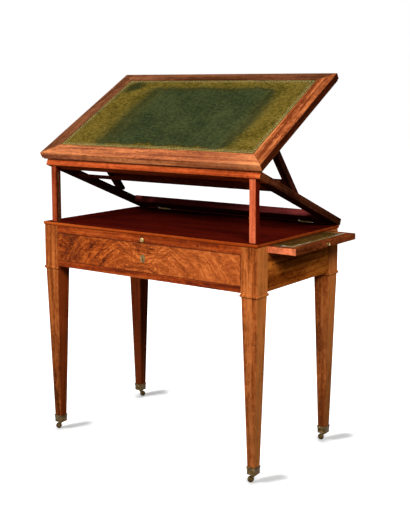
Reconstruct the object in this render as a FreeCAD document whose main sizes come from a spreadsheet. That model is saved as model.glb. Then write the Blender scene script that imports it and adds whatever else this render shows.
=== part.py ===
import FreeCAD, Part
import math
import os
import re
import Sketcher
from FreeCAD import Vector

# Driving sizes in millimetres, angles in degrees
SIZES = {
    # base
    "table_width": 847, "table_depth": 480, "base_top": 720,
    "top_thick": 11, "top_overhang": 3, "top_ovolo": 6,
    "stile": 56.5, "leg_neck": 54, "leg_foot": 25.6,
    "collar_low": 562, "collar_tall": 9, "collar_out": 3, "collar_round": 2.6,
    "sabot_low": 25, "sabot_tall": 25, "sabot_floor": 3, "sabot_wall": 1.5,
    "sabot_lip": 1.6, "sabot_lip_tall": 4,
    "rail_deep": 18, "apron_low": 573, "apron_thick": 18, "apron_inset": 2,
    "edge_ease": 0.8,
    # drawer and its runners
    "drawer_low": 592, "drawer_high": 686, "drawer_gap": 0.6, "drawer_front_thick": 17,
    "drawer_side_thick": 10, "drawer_back_gap": 14, "drawer_bottom_thick": 6, "drawer_bottom_up": 6,
    "runner_wide": 21, "runner_tall": 16, "kicker_tall": 15.5,
    "lock_wide": 52, "lock_tall": 40, "lock_thick": 11,
    "keyhole_radius": 2.5, "keyhole_slot": 9, "escutcheon_wide": 17, "escutcheon_tall": 25,
    "escutcheon_thick": 1, "keyhole_drop": 83,
    # side slides
    "slide_thick": 19.4, "slide_gap": 0.3, "slide_long": 400, "slide_inset": 1.5, "slide_out": 95,
    "slide_margin": 22, "slide_leather_long": 300, "leather_thick": 1.2, "guide_thick": 12,
    "knob_rose": 4, "knob_rose_thick": 1.2, "knob_neck": 2.6, "knob_neck_long": 3, "knob_long": 11,
    # rising frame, hinged at the back of the base
    "frame_tilt": 21.6, "lid_gap": 0.6, "frame_over": 31, "frame_thick": 22,
    "frame_rail_wide": 43.5, "front_rail_wide": 48, "rear_rail_wide": 84, "rear_lap": 8, "side_lap": 10,
    "cross_rail_gap": 66, "cross_rail_wide": 26, "cross_rail_thick": 7,
    "step_wide": 8, "step_tall": 14, "notch_pitch": 13, "notch_deep": 3,
    # butt hinges
    "knuckle": 2.5, "knuckle_gap": 0.5, "leaf_long": 46, "leaf_wide": 18, "leaf_thick": 1.2,
    "hinge_pin": 1.25, "hinge_play": 0.05, "knuckle_play": 0.3, "hinge_spread": 300,
    # writing board, hinged at the front of the frame
    "board_tilt": 30.35, "board_over": 11.5, "board_spare": 4, "board_nose": 9, "board_thick": 26.5,
    "board_fillet": 20.5, "board_tuck": 3.5, "board_lip": 1, "board_cove": 6, "board_round": 1.2,
    "margin_front": 53, "margin_back": 43, "margin_side": 52, "panel_thick": 18,
    # easel struts between board and frame
    "strut_wide": 26, "strut_thick": 18, "strut_gap": 2, "strut_seat": 160, "strut_drop": 4,
    "strut_foot": 326.5, "strut_toe": 7, "peg": 4, "peg_gap": 0.3, "peg_end": 1, "pivot": 3,
    "pivot_play": 0.05, "easel_bar_at": 165, "easel_bar_wide": 34, "easel_bar_thick": 12,
    "block_wide": 12, "block_long": 24, "block_gap": 0.5, "block_chin": 3.5,
    # telescoping posts in the front legs
    "post": 22, "post_gap": 0.5, "post_head_gap": 0.3, "post_long": 273, "post_drop": 205.5,
    "post_bore_spare": 3, "rack_wide": 8, "rack_deep": 4, "tooth_deep": 2.4, "rack_end": 14,
    # push button that frees the posts
    "button": 8, "button_dome": 5, "button_stand": 4.5, "button_stem": 3, "button_play": 0.06,
    "button_drop": 24, "bar_tall": 10, "bar_thick": 6, "bar_inner": 14, "bar_pin": 2,
    "bar_pin_at": 20, "bar_nose_gap": 0.5, "bar_slot_gap": 0.4, "yoke_thick": 3, "yoke_gap": 0.5,
    "yoke_web": 3, "yoke_half": 44, "yoke_long": 17.5, "rail_hole": 3, "rail_hole_at": 212,
    # casters
    "wheel": 10, "wheel_wide": 8, "wheel_crown": 1.2, "trail": 8, "axle": 1.5, "axle_play": 0.05,
    "fork_gap": 0.5, "fork_thick": 2, "cheek": 4.5, "swivel_plate": 9, "swivel_plate_thick": 2,
    "swivel_gap": 0.4, "swivel_stem": 3, "swivel_play": 0.05, "swivel_stem_long": 18,
    "yaw_front_left": -62, "yaw_front_right": -48, "yaw_rear_left": 118, "yaw_rear_right": -66,
}

# Places and lengths that follow from the driving sizes
DERIVED = {
    "half_wide": "table_width / 2", "half_deep": "table_depth / 2",
    "stile_x": "half_wide - stile / 2", "stile_y": "half_deep - stile / 2",
    "inner_x": "half_wide - stile", "inner_y": "half_deep - stile",
    "top_low": "base_top - top_thick", "slide_low": "top_low - slide_thick - 2 * slide_gap",
    "leg_slope": "(leg_neck - leg_foot) / (collar_low - sabot_low)",
    "leg_end": "leg_foot + leg_slope * sabot_floor", "sabot_mouth": "leg_foot + leg_slope * sabot_tall",
    "kicker_low": "slide_low - kicker_tall", "back_y": "half_deep - apron_inset - apron_thick",
    "drawer_half": "inner_x - drawer_gap",
    "drawer_floor": "drawer_low + drawer_gap", "drawer_side_high": "kicker_low - drawer_gap",
    "drawer_rear": "back_y - drawer_back_gap", "keyhole_z": "base_top - keyhole_drop",
    "axis_y": "half_deep + top_overhang + knuckle + knuckle_gap", "axis_z": "base_top + lid_gap / 2",
    "frame_low": "lid_gap / 2", "frame_high": "lid_gap / 2 + frame_thick",
    "frame_reach": "table_depth + frame_over", "rail_inner": "half_wide - frame_rail_wide",
    "front_rail_back": "frame_reach - front_rail_wide",
    "cross_rail_front": "front_rail_back - cross_rail_gap", "knuckle_room": "knuckle + knuckle_play",
    "board_axis_u": "frame_reach + knuckle + lid_gap / 2", "board_axis_v": "frame_high + lid_gap / 2",
    "board_axis_y": "axis_y - board_axis_u * cos(frame_tilt) + board_axis_v * sin(frame_tilt)",
    "board_axis_z": "axis_z + board_axis_u * sin(frame_tilt) + board_axis_v * cos(frame_tilt)",
    "board_half": "half_wide + board_over", "board_long": "frame_reach + board_spare",
    "board_low": "lid_gap / 2", "board_high": "lid_gap / 2 + board_thick",
    "board_back": "board_long - board_nose", "panel_low": "board_high - leather_thick - panel_thick",
    "open_angle": "frame_tilt + board_tilt",
    "pivot_u": "strut_seat * cos(open_angle) + strut_drop * sin(open_angle)",
    "pivot_v": "strut_seat * sin(open_angle) - strut_drop * cos(open_angle)",
    "step_high": "frame_low + step_tall", "peg_v": "step_high + peg + peg_gap - board_axis_v",
    "strut_run": "strut_foot - pivot_u", "strut_fall": "pivot_v - peg_v",
    "strut_long": "sqrt(strut_run ^ 2 + strut_fall ^ 2)",
    "strut_turn": "-(atan(strut_fall / strut_run) / 1 deg + frame_tilt)",
    "foot_sin": "strut_fall / strut_long", "foot_cos": "strut_run / strut_long",
    "strut_heel": "strut_long + peg * foot_sin - (strut_thick / 2 - peg * foot_cos) * strut_run / strut_fall",
    "strut_tip": "(strut_toe - peg * foot_sin) * strut_fall / strut_run - peg * foot_cos",
    "pivot_y": "board_axis_y + strut_seat * cos(board_tilt) + strut_drop * sin(board_tilt)",
    "pivot_z": "board_axis_z + strut_seat * sin(board_tilt) - strut_drop * cos(board_tilt)",
    "strut_out": "rail_inner - strut_gap", "strut_in": "strut_out - strut_wide",
    "post_top": "axis_z + (axis_y + stile_y) * tan(frame_tilt) + frame_low / cos(frame_tilt) - post_head_gap",
    "post_low": "post_top - post_long", "bore": "post / 2 + post_gap",
    "bore_low": "post_low - post_drop - post_bore_spare",
    "bevel": "post / 2 * tan(frame_tilt)",
    "button_z": "base_top - button_drop", "bar_low": "button_z - bar_tall / 2",
    "bar_high": "button_z + bar_tall / 2", "bar_tip": "stile_x - post / 2 - bar_nose_gap",
    "rail_back": "-half_deep + rail_deep", "yoke_y": "rail_back + lid_gap",
    "kicker_front": "max(rail_back; -half_deep + drawer_front_thick + drawer_gap)",
    "swivel_z": "sabot_low - swivel_gap",
}

RACK_TEETH = 16
NOTCHES = 9
NOTCHES_AHEAD = 2
SIDES = (("left", -1), ("right", 1))
LEGS = (("front_left", -1, -1), ("front_right", 1, -1), ("rear_left", -1, 1), ("rear_right", 1, 1))
WORDS = re.compile(r"[a-z][a-z_0-9]*")

doc = FreeCAD.newDocument("architect_table")
sheet = doc.addObject("Spreadsheet::Sheet", "Dims")
for row, (name, size) in enumerate(SIZES.items(), 1):
    sheet.set(f"A{row}", name)
    sheet.set(f"B{row}", str(size))
    sheet.setAlias(f"B{row}", name)
doc.recompute()
nodes = []


def bind(text):
    """Expression text with every size name turned into its sheet cell."""
    def cell(found):
        word = found[0]
        if word in DERIVED:
            return "(" + bind(DERIVED[word]) + ")"
        return "Dims." + word if word in SIZES else word
    return WORDS.sub(cell, str(text))


def number(text):
    """Present value of an expression."""
    return float(sheet.evalExpression(bind(text)))


def node(label, piece):
    """Name a finished piece and keep it for writing."""
    piece.Label = label
    nodes.append(piece)
    return piece


def place(piece, x="0", y="0", z="0", turn=None, axis=Vector(1, 0, 0)):
    """Bind a piece's place, and its turn about an axis through its own origin."""
    if turn is not None:
        piece.Placement = FreeCAD.Placement(Vector(), FreeCAD.Rotation(axis, 1))
        piece.setExpression("Placement.Rotation.Angle", bind(turn))
    for key, text in zip("xyz", (x, y, z)):
        piece.setExpression(f"Placement.Base.{key}", bind(text))
    return piece


def on_frame(piece):
    """Raise a piece drawn flat from the rear hinge line."""
    return place(piece, "0", "axis_y", "axis_z", "-frame_tilt")


def on_board(piece):
    """Raise a piece drawn flat from the board's hinge line."""
    return place(piece, "0", "board_axis_y", "board_axis_z", "board_tilt")


def arc_between(start, end, radius):
    """Short arc between two points, its centre left of the way for a positive radius."""
    chord = end - start
    side = Vector(-chord.y, chord.x, 0).normalize()
    rise = math.sqrt(max(radius ** 2 - chord.Length ** 2 / 4, 0))
    centre = (start + end) / 2 + side * math.copysign(rise, radius)
    first, last = (start, end) if radius > 0 else (end, start)
    angles = [math.atan2(p.y - centre.y, p.x - centre.x) for p in (first, last)]
    if angles[1] < angles[0]:
        angles[1] += 2 * math.pi
    return Part.ArcOfCircle(Part.Circle(centre, Vector(0, 0, 1), abs(radius)), *angles)


def outline(body, plane, points, offset="0"):
    """Closed sketch through bound points; a third item bends the side after it to that radius."""
    sketch = body.newObject("Sketcher::SketchObject", body.Name + "_outline")
    origin_plane = next(f for f in body.Origin.OriginFeatures if f.Role == plane)
    sketch.AttachmentSupport = [(origin_plane, "")]
    sketch.MapMode = "FlatFace"
    sketch.setExpression("AttachmentOffset.Base.z", bind(offset))
    spots = [Vector(number(p[0]), number(p[1]), 0) for p in points]
    ends = []
    for i, point in enumerate(points):
        start, end = spots[i], spots[(i + 1) % len(spots)]
        if len(point) == 3:
            sketch.addGeometry(arc_between(start, end, number(point[2])))
            ends.append((1, 2) if number(point[2]) > 0 else (2, 1))
        else:
            sketch.addGeometry(Part.LineSegment(start, end))
            ends.append((1, 2))
    for i, point in enumerate(points):
        following = (i + 1) % len(points)
        sketch.addConstraint(Sketcher.Constraint("Coincident", i, ends[i][1], following, ends[following][0]))
        for kind, text, size in zip(("DistanceX", "DistanceY"), point, spots[i]):
            rule = sketch.addConstraint(Sketcher.Constraint(kind, -1, 1, i, ends[i][0], size))
            sketch.setExpression(f"Constraints[{rule}]", bind(text))
        if len(point) == 3:
            rule = sketch.addConstraint(Sketcher.Constraint("Radius", i, abs(number(point[2]))))
            sketch.setExpression(f"Constraints[{rule}]", bind(f"abs({point[2]})"))
    return sketch


def pad(body, plane, points, low, high):
    """Pad an outline square to its plane, from one place on that plane's axis to another."""
    start = f"-({high})" if plane == "XZ_Plane" else low
    sketch = outline(body, plane, points, start)
    feature = body.newObject("PartDesign::Pad", body.Name + "_pad")
    feature.Profile = sketch
    feature.setExpression("Length", bind(f"({high}) - ({low})"))
    return feature


def prism(name, plane, points, low, high):
    """Body of one padded outline."""
    body = doc.addObject("PartDesign::Body", name)
    pad(body, plane, points, low, high)
    return body


def oblong(x, y):
    """Corner points of a rectangle between two pairs of places."""
    return [(x[0], y[0]), (x[1], y[0]), (x[1], y[1]), (x[0], y[1])]


def square(size):
    """Corner points of a centred square."""
    return oblong((f"-({size}) / 2", f"({size}) / 2"), (f"-({size}) / 2", f"({size}) / 2"))


def ease(body, size="edge_ease"):
    """Take off every sharp edge of a body."""
    doc.recompute()
    solid = body.Tip
    chamfer = body.newObject("PartDesign::Chamfer", body.Name + "_ease")
    chamfer.Base = (solid, [])
    chamfer.UseAllEdges = True
    chamfer.setExpression("Size", bind(size))
    body.Tip = chamfer
    return body


def plank(name, x, y, z):
    """Planed board between three pairs of places, with eased edges."""
    return ease(prism(name, "XY_Plane", oblong(x, y), *z))


def slab(name, x, y, z):
    """Sharp-edged board that fills a rebate."""
    return prism(name, "XY_Plane", oblong(x, y), *z)


def box(name, x, y, z):
    """Plain block between three pairs of places."""
    block = doc.addObject("Part::Box", name)
    for key, size, (low, high) in zip("xyz", ("Length", "Width", "Height"), (x, y, z)):
        block.setExpression(size, bind(f"({high}) - ({low})"))
        block.setExpression(f"Placement.Base.{key}", bind(low))
    return block


def rod(name, radius, axis, centre, low, high):
    """Round bar along X, Y or Z through a centre given on the other two axes."""
    bar = doc.addObject("Part::Cylinder", name)
    turns = {"x": (Vector(0, 1, 0), 90), "y": (Vector(1, 0, 0), -90), "z": (Vector(0, 0, 1), 0)}
    bar.Placement = FreeCAD.Placement(Vector(), FreeCAD.Rotation(*turns[axis]))
    bar.setExpression("Radius", bind(radius))
    bar.setExpression("Height", bind(f"({high}) - ({low})"))
    others = [key for key in "xyz" if key != axis]
    for key, text in zip([axis] + others, (low,) + tuple(centre)):
        bar.setExpression(f"Placement.Base.{key}", bind(text))
    return bar


def turned(name, points, axis="V_Axis"):
    """Solid turned about the sketch's upright or level axis."""
    body = doc.addObject("PartDesign::Body", name)
    sketch = outline(body, "XY_Plane", points)
    feature = body.newObject("PartDesign::Revolution", name + "_turn")
    feature.Profile = sketch
    feature.ReferenceAxis = (sketch, [axis])
    feature.Angle = 360
    return body


def join(name, pieces, kind="Part::MultiFuse"):
    """Fuse pieces, or keep them apart in one compound."""
    whole = doc.addObject(kind, name)
    if kind == "Part::Compound":
        whole.Links = pieces
    else:
        whole.Shapes = pieces
    return whole


def group(name, pieces):
    """Several like pieces in one node, as separate solids."""
    return join(name, pieces, "Part::Compound")


def cut(name, base, tools):
    """A piece with one or more tools taken out of it."""
    result = doc.addObject("Part::Cut", name)
    result.Base = base
    result.Tool = tools[0] if len(tools) == 1 else join(name + "_tools", tools)
    return result


def common(name, first, second):
    """What two pieces share."""
    result = doc.addObject("Part::Common", name)
    result.Base = first
    result.Tool = second
    return result


def mirrored(low, high, side):
    """Pair of X places on the left or the right."""
    return (low, high) if side > 0 else (f"-({high})", f"-({low})")


def centred(at, half):
    """Pair of places half a width each side of a centre."""
    return (f"({at}) - ({half})", f"({at}) + ({half})")


def fillet(body, chosen, radius):
    """Round the edges of a body whose ends all pass a test."""
    doc.recompute()
    solid = body.Tip
    names = [f"Edge{i}" for i, edge in enumerate(solid.Shape.Edges, 1)
             if chosen(*[corner.Point for corner in edge.Vertexes])]
    feature = body.newObject("PartDesign::Fillet", body.Name + "_round")
    feature.Base = (solid, names)
    feature.setExpression("Radius", bind(radius))
    body.Tip = feature
    return body


def loft(name, low_size, high_size, low, high):
    """Body lofted between two centred squares."""
    body = doc.addObject("PartDesign::Body", name)
    first, last = [outline(body, "XY_Plane", square(size), at)
                   for size, at in ((low_size, low), (high_size, high))]
    feature = body.newObject("PartDesign::AdditiveLoft", name + "_loft")
    feature.Profile = first
    feature.Sections = [last]
    feature.Ruled = True
    return body


def at_leg(piece, side_x, side_y, turn=None):
    """Set a piece drawn about a leg's own axis under that leg."""
    return place(piece, f"{side_x} * stile_x", f"{side_y} * stile_y", "0", turn, Vector(0, 0, 1))


def collar_edge(start, end):
    """Whether an edge is one of the level outer edges of a leg's collar."""
    reach = number("stile / 2 + collar_out")
    level = abs(start.z - end.z) < 0.01
    return level and min(max(abs(p.x), abs(p.y)) for p in (start, end)) > reach - 0.01


def leg(name, side_x, side_y):
    """Square tapered leg with its stile block and half-round collar, bored for caster and post."""
    body = loft(name + "_wood", "leg_end", "leg_neck", "sabot_low + sabot_floor", "collar_low")
    pad(body, "XY_Plane", square("stile"), "collar_low", "top_low")
    pad(body, "XY_Plane", square("stile + 2 * collar_out"), "collar_low", "collar_low + collar_tall")
    fillet(body, collar_edge, "collar_round")
    at_leg(body, side_x, side_y)
    axis = (f"{side_x} * stile_x", f"{side_y} * stile_y")
    bores = [rod(name + "_stem_bore", "swivel_stem + swivel_gap", "z", axis, "sabot_low",
                 "sabot_low + swivel_stem_long")]
    if side_y < 0:
        bores.append(box(name + "_post_bore", centred(axis[0], "bore"), centred(axis[1], "bore"),
                         ("bore_low", "base_top")))
        bores.append(box(name + "_bar_slot", mirrored("inner_x - 1", "stile_x", side_x),
                         centred(axis[1], "bar_thick / 2 + bar_slot_gap"),
                         centred("button_z", "bar_tall / 2 + bar_slot_gap")))
    node("leg_" + name, cut(name + "_leg", body, bores))


def sabot(name, side_x, side_y):
    """Square brass shoe with a flared lip, open on top for the leg and bored for the caster stem."""
    shoe = loft(name + "_shoe", "leg_foot + 2 * sabot_wall", "sabot_mouth + 2 * sabot_wall",
                "sabot_low", "sabot_low + sabot_tall")
    pad(shoe, "XY_Plane", square("sabot_mouth + 2 * sabot_wall + 2 * sabot_lip"),
        "sabot_low + sabot_tall - sabot_lip_tall", "sabot_low + sabot_tall")
    ease(shoe)
    mouth = "sabot_low + sabot_tall"
    inside = loft(name + "_socket", "leg_end", "sabot_mouth", "sabot_low + sabot_floor", mouth)
    bore = rod(name + "_shoe_bore", "swivel_stem + swivel_play", "z", ("0", "0"), "0", mouth)
    return at_leg(cut(name + "_sabot", shoe, [inside, bore]), side_x, side_y)


def caster(name, side_x, side_y):
    """Trailing fork with its stem and axle, and the wheel that runs on it."""
    turn = "yaw_" + name
    plate_low = "swivel_z - swivel_plate_thick"
    side = "wheel_wide / 2 + fork_gap"
    cheek_line = [("-trail - cheek", "wheel"), ("-trail - cheek / 2", "wheel - cheek"),
                  ("-trail + cheek / 2", "wheel - cheek"), ("-trail + cheek", "wheel"),
                  ("cheek", plate_low), ("-cheek", plate_low)]
    pieces = [rod(name + "_plate", "swivel_plate", "z", ("0", "0"), plate_low, "swivel_z"),
              rod(name + "_stem", "swivel_stem", "z", ("0", "0"), "swivel_z", "swivel_z + swivel_stem_long"),
              rod(name + "_axle", "axle", "x", ("-trail", "wheel"), f"-({side} + fork_thick)",
                  f"{side} + fork_thick")]
    for word, sign in SIDES:
        pieces.append(prism(f"{name}_cheek_{word}", "YZ_Plane", cheek_line,
                            *mirrored(side, f"{side} + fork_thick", sign)))
    node("caster_fork_" + name, at_leg(join(name + "_fork", pieces), side_x, side_y, turn))
    rim = "wheel - wheel_crown"
    wheel = turned(name + "_wheel", [
        ("-wheel_wide / 2", "axle + axle_play"), ("wheel_wide / 2", "axle + axle_play"),
        ("wheel_wide / 2", rim, "wheel_wide ^ 2 / (8 * wheel_crown) + wheel_crown / 2"),
        ("-wheel_wide / 2", rim)], "H_Axis")
    place(wheel, f"{side_x} * stile_x + trail * sin({turn})", f"{side_y} * stile_y - trail * cos({turn})",
          "wheel", turn, Vector(0, 0, 1))
    node("caster_wheel_" + name, wheel)


def desk_top():
    """Fixed top of the base with a moulded edge, two post holes and two hinge rebates."""
    edge_x, edge_y = "half_wide + top_overhang", "half_deep + top_overhang"
    body = prism("top_board", "XY_Plane", oblong((f"-({edge_x})", edge_x), (f"-({edge_y})", edge_y)),
                 "top_low", "base_top")
    for height, radius in (("top_low", "top_ovolo"), ("base_top", "edge_ease")):
        at = number(height)
        fillet(body, lambda a, b, at=at: abs(a.z - at) < 0.01 and abs(b.z - at) < 0.01, radius)
    tools = rebates("top", ("axis_y - leaf_wide", "axis_y"), ("base_top - leaf_thick", "base_top"))
    for word, sign in SIDES:
        tools.append(box("post_hole_" + word, centred(f"{sign} * stile_x", "bore"),
                         centred("-stile_y", "bore"), ("top_low", "base_top")))
    node("desk_top", cut("desk_top", body, tools))


def carcass():
    """Rails, aprons and the bearers inside the base."""
    across = ("-inner_x", "inner_x")
    along = ("-half_deep", "rail_back")
    top_rail = plank("top_rail", across, along, ("drawer_high", "top_low"))
    holes = [rod("button_hole", "button_stem + button_play", "y", ("0", "button_z"), *along),
             rod("pin_hole", "rail_hole", "y", ("rail_hole_at", "button_z"), *along)]
    node("front_top_rail", cut("front_top_rail", top_rail, holes))
    node("front_bottom_rail", plank("bottom_rail", across, along, ("apron_low", "drawer_low")))
    node("back_apron", plank("back_board", across, ("back_y", "half_deep - apron_inset"),
                             ("apron_low", "top_low")))
    for word, sign in SIDES:
        face = mirrored("half_wide - apron_inset - apron_thick", "half_wide - apron_inset", sign)
        node("side_apron_" + word, plank("side_board_" + word, face, ("-inner_y", "inner_y"),
                                         ("apron_low", "slide_low")))
    length, kicker_length = ("rail_back", "back_y"), ("kicker_front", "back_y")
    runners, bearers = [], [plank("kicker_middle", centred("0", "runner_wide / 2"), kicker_length,
                                  ("kicker_low", "slide_low"))]
    for word, sign in SIDES:
        strip = mirrored("inner_x - runner_wide", "inner_x", sign)
        runners.append(plank("runner_" + word, strip, length, ("drawer_low - runner_tall", "drawer_low")))
        bearers.append(plank("kicker_" + word, strip, kicker_length, ("kicker_low", "slide_low")))
        bearers.append(plank("guide_" + word, across, mirrored("inner_y", "inner_y + guide_thick", sign),
                             ("slide_low", "top_low")))
    node("drawer_runners", group("drawer_runners", runners))
    node("slide_bearers", group("slide_bearers", bearers))


def drawer():
    """Drawer box with its lock and keyhole plate."""
    face_back = "-half_deep + drawer_front_thick"
    inside = "drawer_half - drawer_side_thick"
    across = (f"-({inside})", inside)
    front = plank("drawer_face", ("-drawer_half", "drawer_half"), ("-half_deep", face_back),
                  ("drawer_floor", "drawer_high - drawer_gap"))
    node("drawer_front", cut("drawer_front", front, keyhole("front", "-half_deep", face_back)))
    for word, sign in SIDES:
        node("drawer_side_" + word, plank("drawer_wall_" + word, mirrored(inside, "drawer_half", sign),
                                          (face_back, "drawer_rear"), ("drawer_floor", "drawer_side_high")))
    floor = "drawer_floor + drawer_bottom_up"
    node("drawer_bottom", plank("drawer_base", across, (face_back, "drawer_rear"),
                                (floor, floor + " + drawer_bottom_thick")))
    node("drawer_back", plank("drawer_tail", across, ("drawer_rear - drawer_side_thick", "drawer_rear"),
                              (floor + " + drawer_bottom_thick", "drawer_side_high")))
    lock = plank("lock_case", centred("0", "lock_wide / 2"), (face_back, face_back + " + lock_thick"),
                 centred("keyhole_z", "lock_tall / 2"))
    node("drawer_lock", lock)
    half, end = "escutcheon_wide / 2", "escutcheon_wide / 3"
    low, high = [f"keyhole_z {sign} (escutcheon_tall / 2 - {end})" for sign in "-+"]
    bow = f"escutcheon_wide ^ 2 / (8 * {end}) + {end} / 2"
    shield = [(f"-{half}", low, bow), (half, low), (half, high, bow), (f"-{half}", high)]
    plate = prism("shield", "XZ_Plane", shield, "-half_deep - escutcheon_thick", "-half_deep")
    node("keyhole_escutcheon", cut("keyhole_escutcheon", plate,
                                   keyhole("plate", "-half_deep - escutcheon_thick", "-half_deep")))


def keyhole(name, front, back):
    """Round eye and slot of a keyhole, as cutting tools."""
    return [rod(name + "_eye", "keyhole_radius", "y", ("0", "keyhole_z"), front, back),
            box(name + "_slot", centred("0", "keyhole_radius / 2"), (front, back),
                ("keyhole_z - keyhole_slot", "keyhole_z"))]


def side_slide(word, sign, out):
    """Writing slide with its leather and knob, pulled out by a given length."""
    end = f"half_wide - slide_inset + {out}"
    wide = "inner_y - slide_gap"
    high = "top_low - slide_gap"
    panel = plank("slide_panel_" + word, mirrored(end + " - slide_long", end, sign), (f"-({wide})", wide),
                  ("slide_low + slide_gap", high))
    inlay = (mirrored(end + " - slide_margin - slide_leather_long", end + " - slide_margin", sign),
             (f"-({wide} - slide_margin)", wide + " - slide_margin"), (high + " - leather_thick", high))
    node("slide_board_" + word, cut("slide_" + word, panel, [box("slide_rebate_" + word, *inlay)]))
    node("slide_leather_" + word, box("slide_hide_" + word, *inlay))
    neck_end = "knob_rose_thick + knob_neck_long"
    ball = f"(knob_long - ({neck_end})) / 2 + knob_neck ^ 2 / (2 * (knob_long - ({neck_end})))"
    knob = turned("slide_pull_" + word, [
        ("0", "0"), ("knob_long", "0", ball), (neck_end, "knob_neck"), ("knob_rose_thick", "knob_neck"),
        ("knob_rose_thick", "knob_rose"), ("0", "knob_rose")], "H_Axis")
    place(knob, f"{sign} * ({end})", "0", f"({high} + slide_low + slide_gap) / 2",
          "180" if sign < 0 else None, Vector(0, 0, 1))
    node("slide_knob_" + word, knob)


def hinge_leaf(name, at, axis, way, plate_z, inner):
    """Leaf of a butt hinge: the inner leaf has the middle knuckle, the outer one the end knuckles and pin."""
    flap = (axis[0], f"{axis[0]} + leaf_wide") if way > 0 else (f"{axis[0]} - leaf_wide", axis[0])
    plate = (f"{flap[0]} + knuckle_room", flap[1]) if way > 0 else (flap[0], f"{flap[1]} - knuckle_room")
    whole = centred(at, "leaf_long / 2")
    pieces = [box(name + "_plate", whole, plate, plate_z)]
    spans = [centred(at, "leaf_long / 6 - knuckle_play / 2")]
    if not inner:
        middle = centred(at, "leaf_long / 6 + knuckle_play / 2")
        spans = [(whole[0], middle[0]), (middle[1], whole[1])]
        pieces.append(rod(name + "_pin", "hinge_pin", "x", axis, *whole))
    for i, span in enumerate(spans):
        pieces.append(box(f"{name}_lug_{i}", span, flap, plate_z))
        pieces.append(rod(f"{name}_knuckle_{i}", "knuckle", "x", axis, *span))
    leaf = join(name + "_leaf", pieces)
    if inner:
        leaf = cut(name + "_bored", leaf, [rod(name + "_bore", "hinge_pin + hinge_play", "x", axis, *whole)])
    return leaf


def hinges():
    """Two butt hinges at the back of the base and two at the front of the rising frame."""
    front_axis = ("-board_axis_u", "board_axis_v")
    kinds = (("rear_hinge_base_leaves", ("axis_y", "axis_z"), -1, ("base_top - leaf_thick", "base_top"),
              False, None),
             ("rear_hinge_frame_leaves", ("0", "0"), -1, ("frame_low", "frame_low + leaf_thick"),
              True, on_frame),
             ("board_hinge_frame_leaves", front_axis, 1, ("frame_high - leaf_thick", "frame_high"),
              False, on_frame),
             ("board_hinge_board_leaves", ("0", "0"), 1, ("board_low", "board_low + leaf_thick"),
              True, on_board))
    for label, axis, way, plate_z, inner, raised in kinds:
        leaves = [hinge_leaf(f"{label}_{word}", f"{sign} * hinge_spread", axis, way, plate_z, inner)
                  for word, sign in SIDES]
        pair = group(label, leaves)
        node(label, raised(pair) if raised else pair)


def rebates(name, y, z):
    """Tools for the two hinge leaves let into one piece."""
    return [box(f"{name}_rebate_{word}", centred(f"{sign} * hinge_spread", "leaf_long / 2"), y, z)
            for word, sign in SIDES]


def pockets(name, y):
    """Tools that clear the two hinges' knuckles in a piece that laps over them."""
    return [box(f"{name}_pocket_{word}", centred(f"{sign} * hinge_spread", "leaf_long / 2 + knuckle_play"), y,
                ("0", "knuckle_room")) for word, sign in SIDES]


def rising_frame():
    """Frame that lifts the board, drawn flat from its rear hinge line."""
    tall = ("frame_low", "frame_high")
    front = plank("fascia", ("-half_wide", "half_wide"), ("-frame_reach", "-front_rail_back"), tall)
    front_cuts = rebates("fascia", ("-board_axis_u", "-board_axis_u + leaf_wide"),
                         ("frame_high - leaf_thick", "frame_high"))
    node("frame_front_rail", on_frame(cut("frame_front_rail", front, front_cuts)))
    across = ("-rail_inner", "rail_inner")
    rear = plank("rear_bar", across, ("-rear_rail_wide", "rear_lap"), tall)
    rear_cuts = rebates("rear_bar", ("-leaf_wide", "0"), ("frame_low", "frame_low + leaf_thick"))
    rear_cuts += pockets("rear_bar", ("-knuckle_room", "rear_lap"))
    node("frame_rear_rail", on_frame(cut("frame_rear_rail", rear, rear_cuts)))
    cross = plank("cross_bar", across, ("-cross_rail_front", "-cross_rail_front + cross_rail_wide"),
                  ("frame_low", "frame_low + cross_rail_thick"))
    node("frame_cross_rail", on_frame(cross))
    seat = "-board_axis_u + strut_foot + peg"
    saw = []
    for k in range(-NOTCHES_AHEAD, NOTCHES - NOTCHES_AHEAD):
        stop = f"{seat} + {k} * notch_pitch"
        saw += [(stop + " - notch_pitch + peg / 2", "step_high"), (stop, "step_high - notch_deep"),
                (stop, "step_high")]
    saw += [(saw[-1][0], "step_high + peg"), (saw[0][0], "step_high + peg")]
    for word, sign in SIDES:
        inner, ledge, outer = [f"{sign} * ({place_x})" for place_x in
                               ("rail_inner", "rail_inner + step_wide", "half_wide")]
        section = [(inner, "frame_low"), (outer, "frame_low"), (outer, "frame_high"), (ledge, "frame_high"),
                   (ledge, "step_high"), (inner, "step_high")]
        rail = ease(prism("side_bar_" + word, "XZ_Plane", section, "-front_rail_back", "side_lap"))
        teeth = prism("rack_cut_" + word, "YZ_Plane", saw,
                      *mirrored("rail_inner", "rail_inner + step_wide", sign))
        node("frame_side_rail_" + word, on_frame(cut("frame_side_" + word, rail, [teeth])))


def edge_profile(outer, inward, margin):
    """Section of a board rail, plain above with a small cove under it, from its outer edge inwards."""
    def from_edge(size):
        return f"({outer}) + {inward} * ({size})"
    shelf = "board_high - board_fillet"
    return [(from_edge(margin), "board_low"),
            (from_edge("board_tuck"), "board_low", f"{inward} * board_cove"),
            (from_edge("board_lip"), shelf), (from_edge("0"), shelf),
            (from_edge("0"), "board_high - board_round"), (from_edge("board_round"), "board_high"),
            (from_edge(margin), "board_high")]


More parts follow.
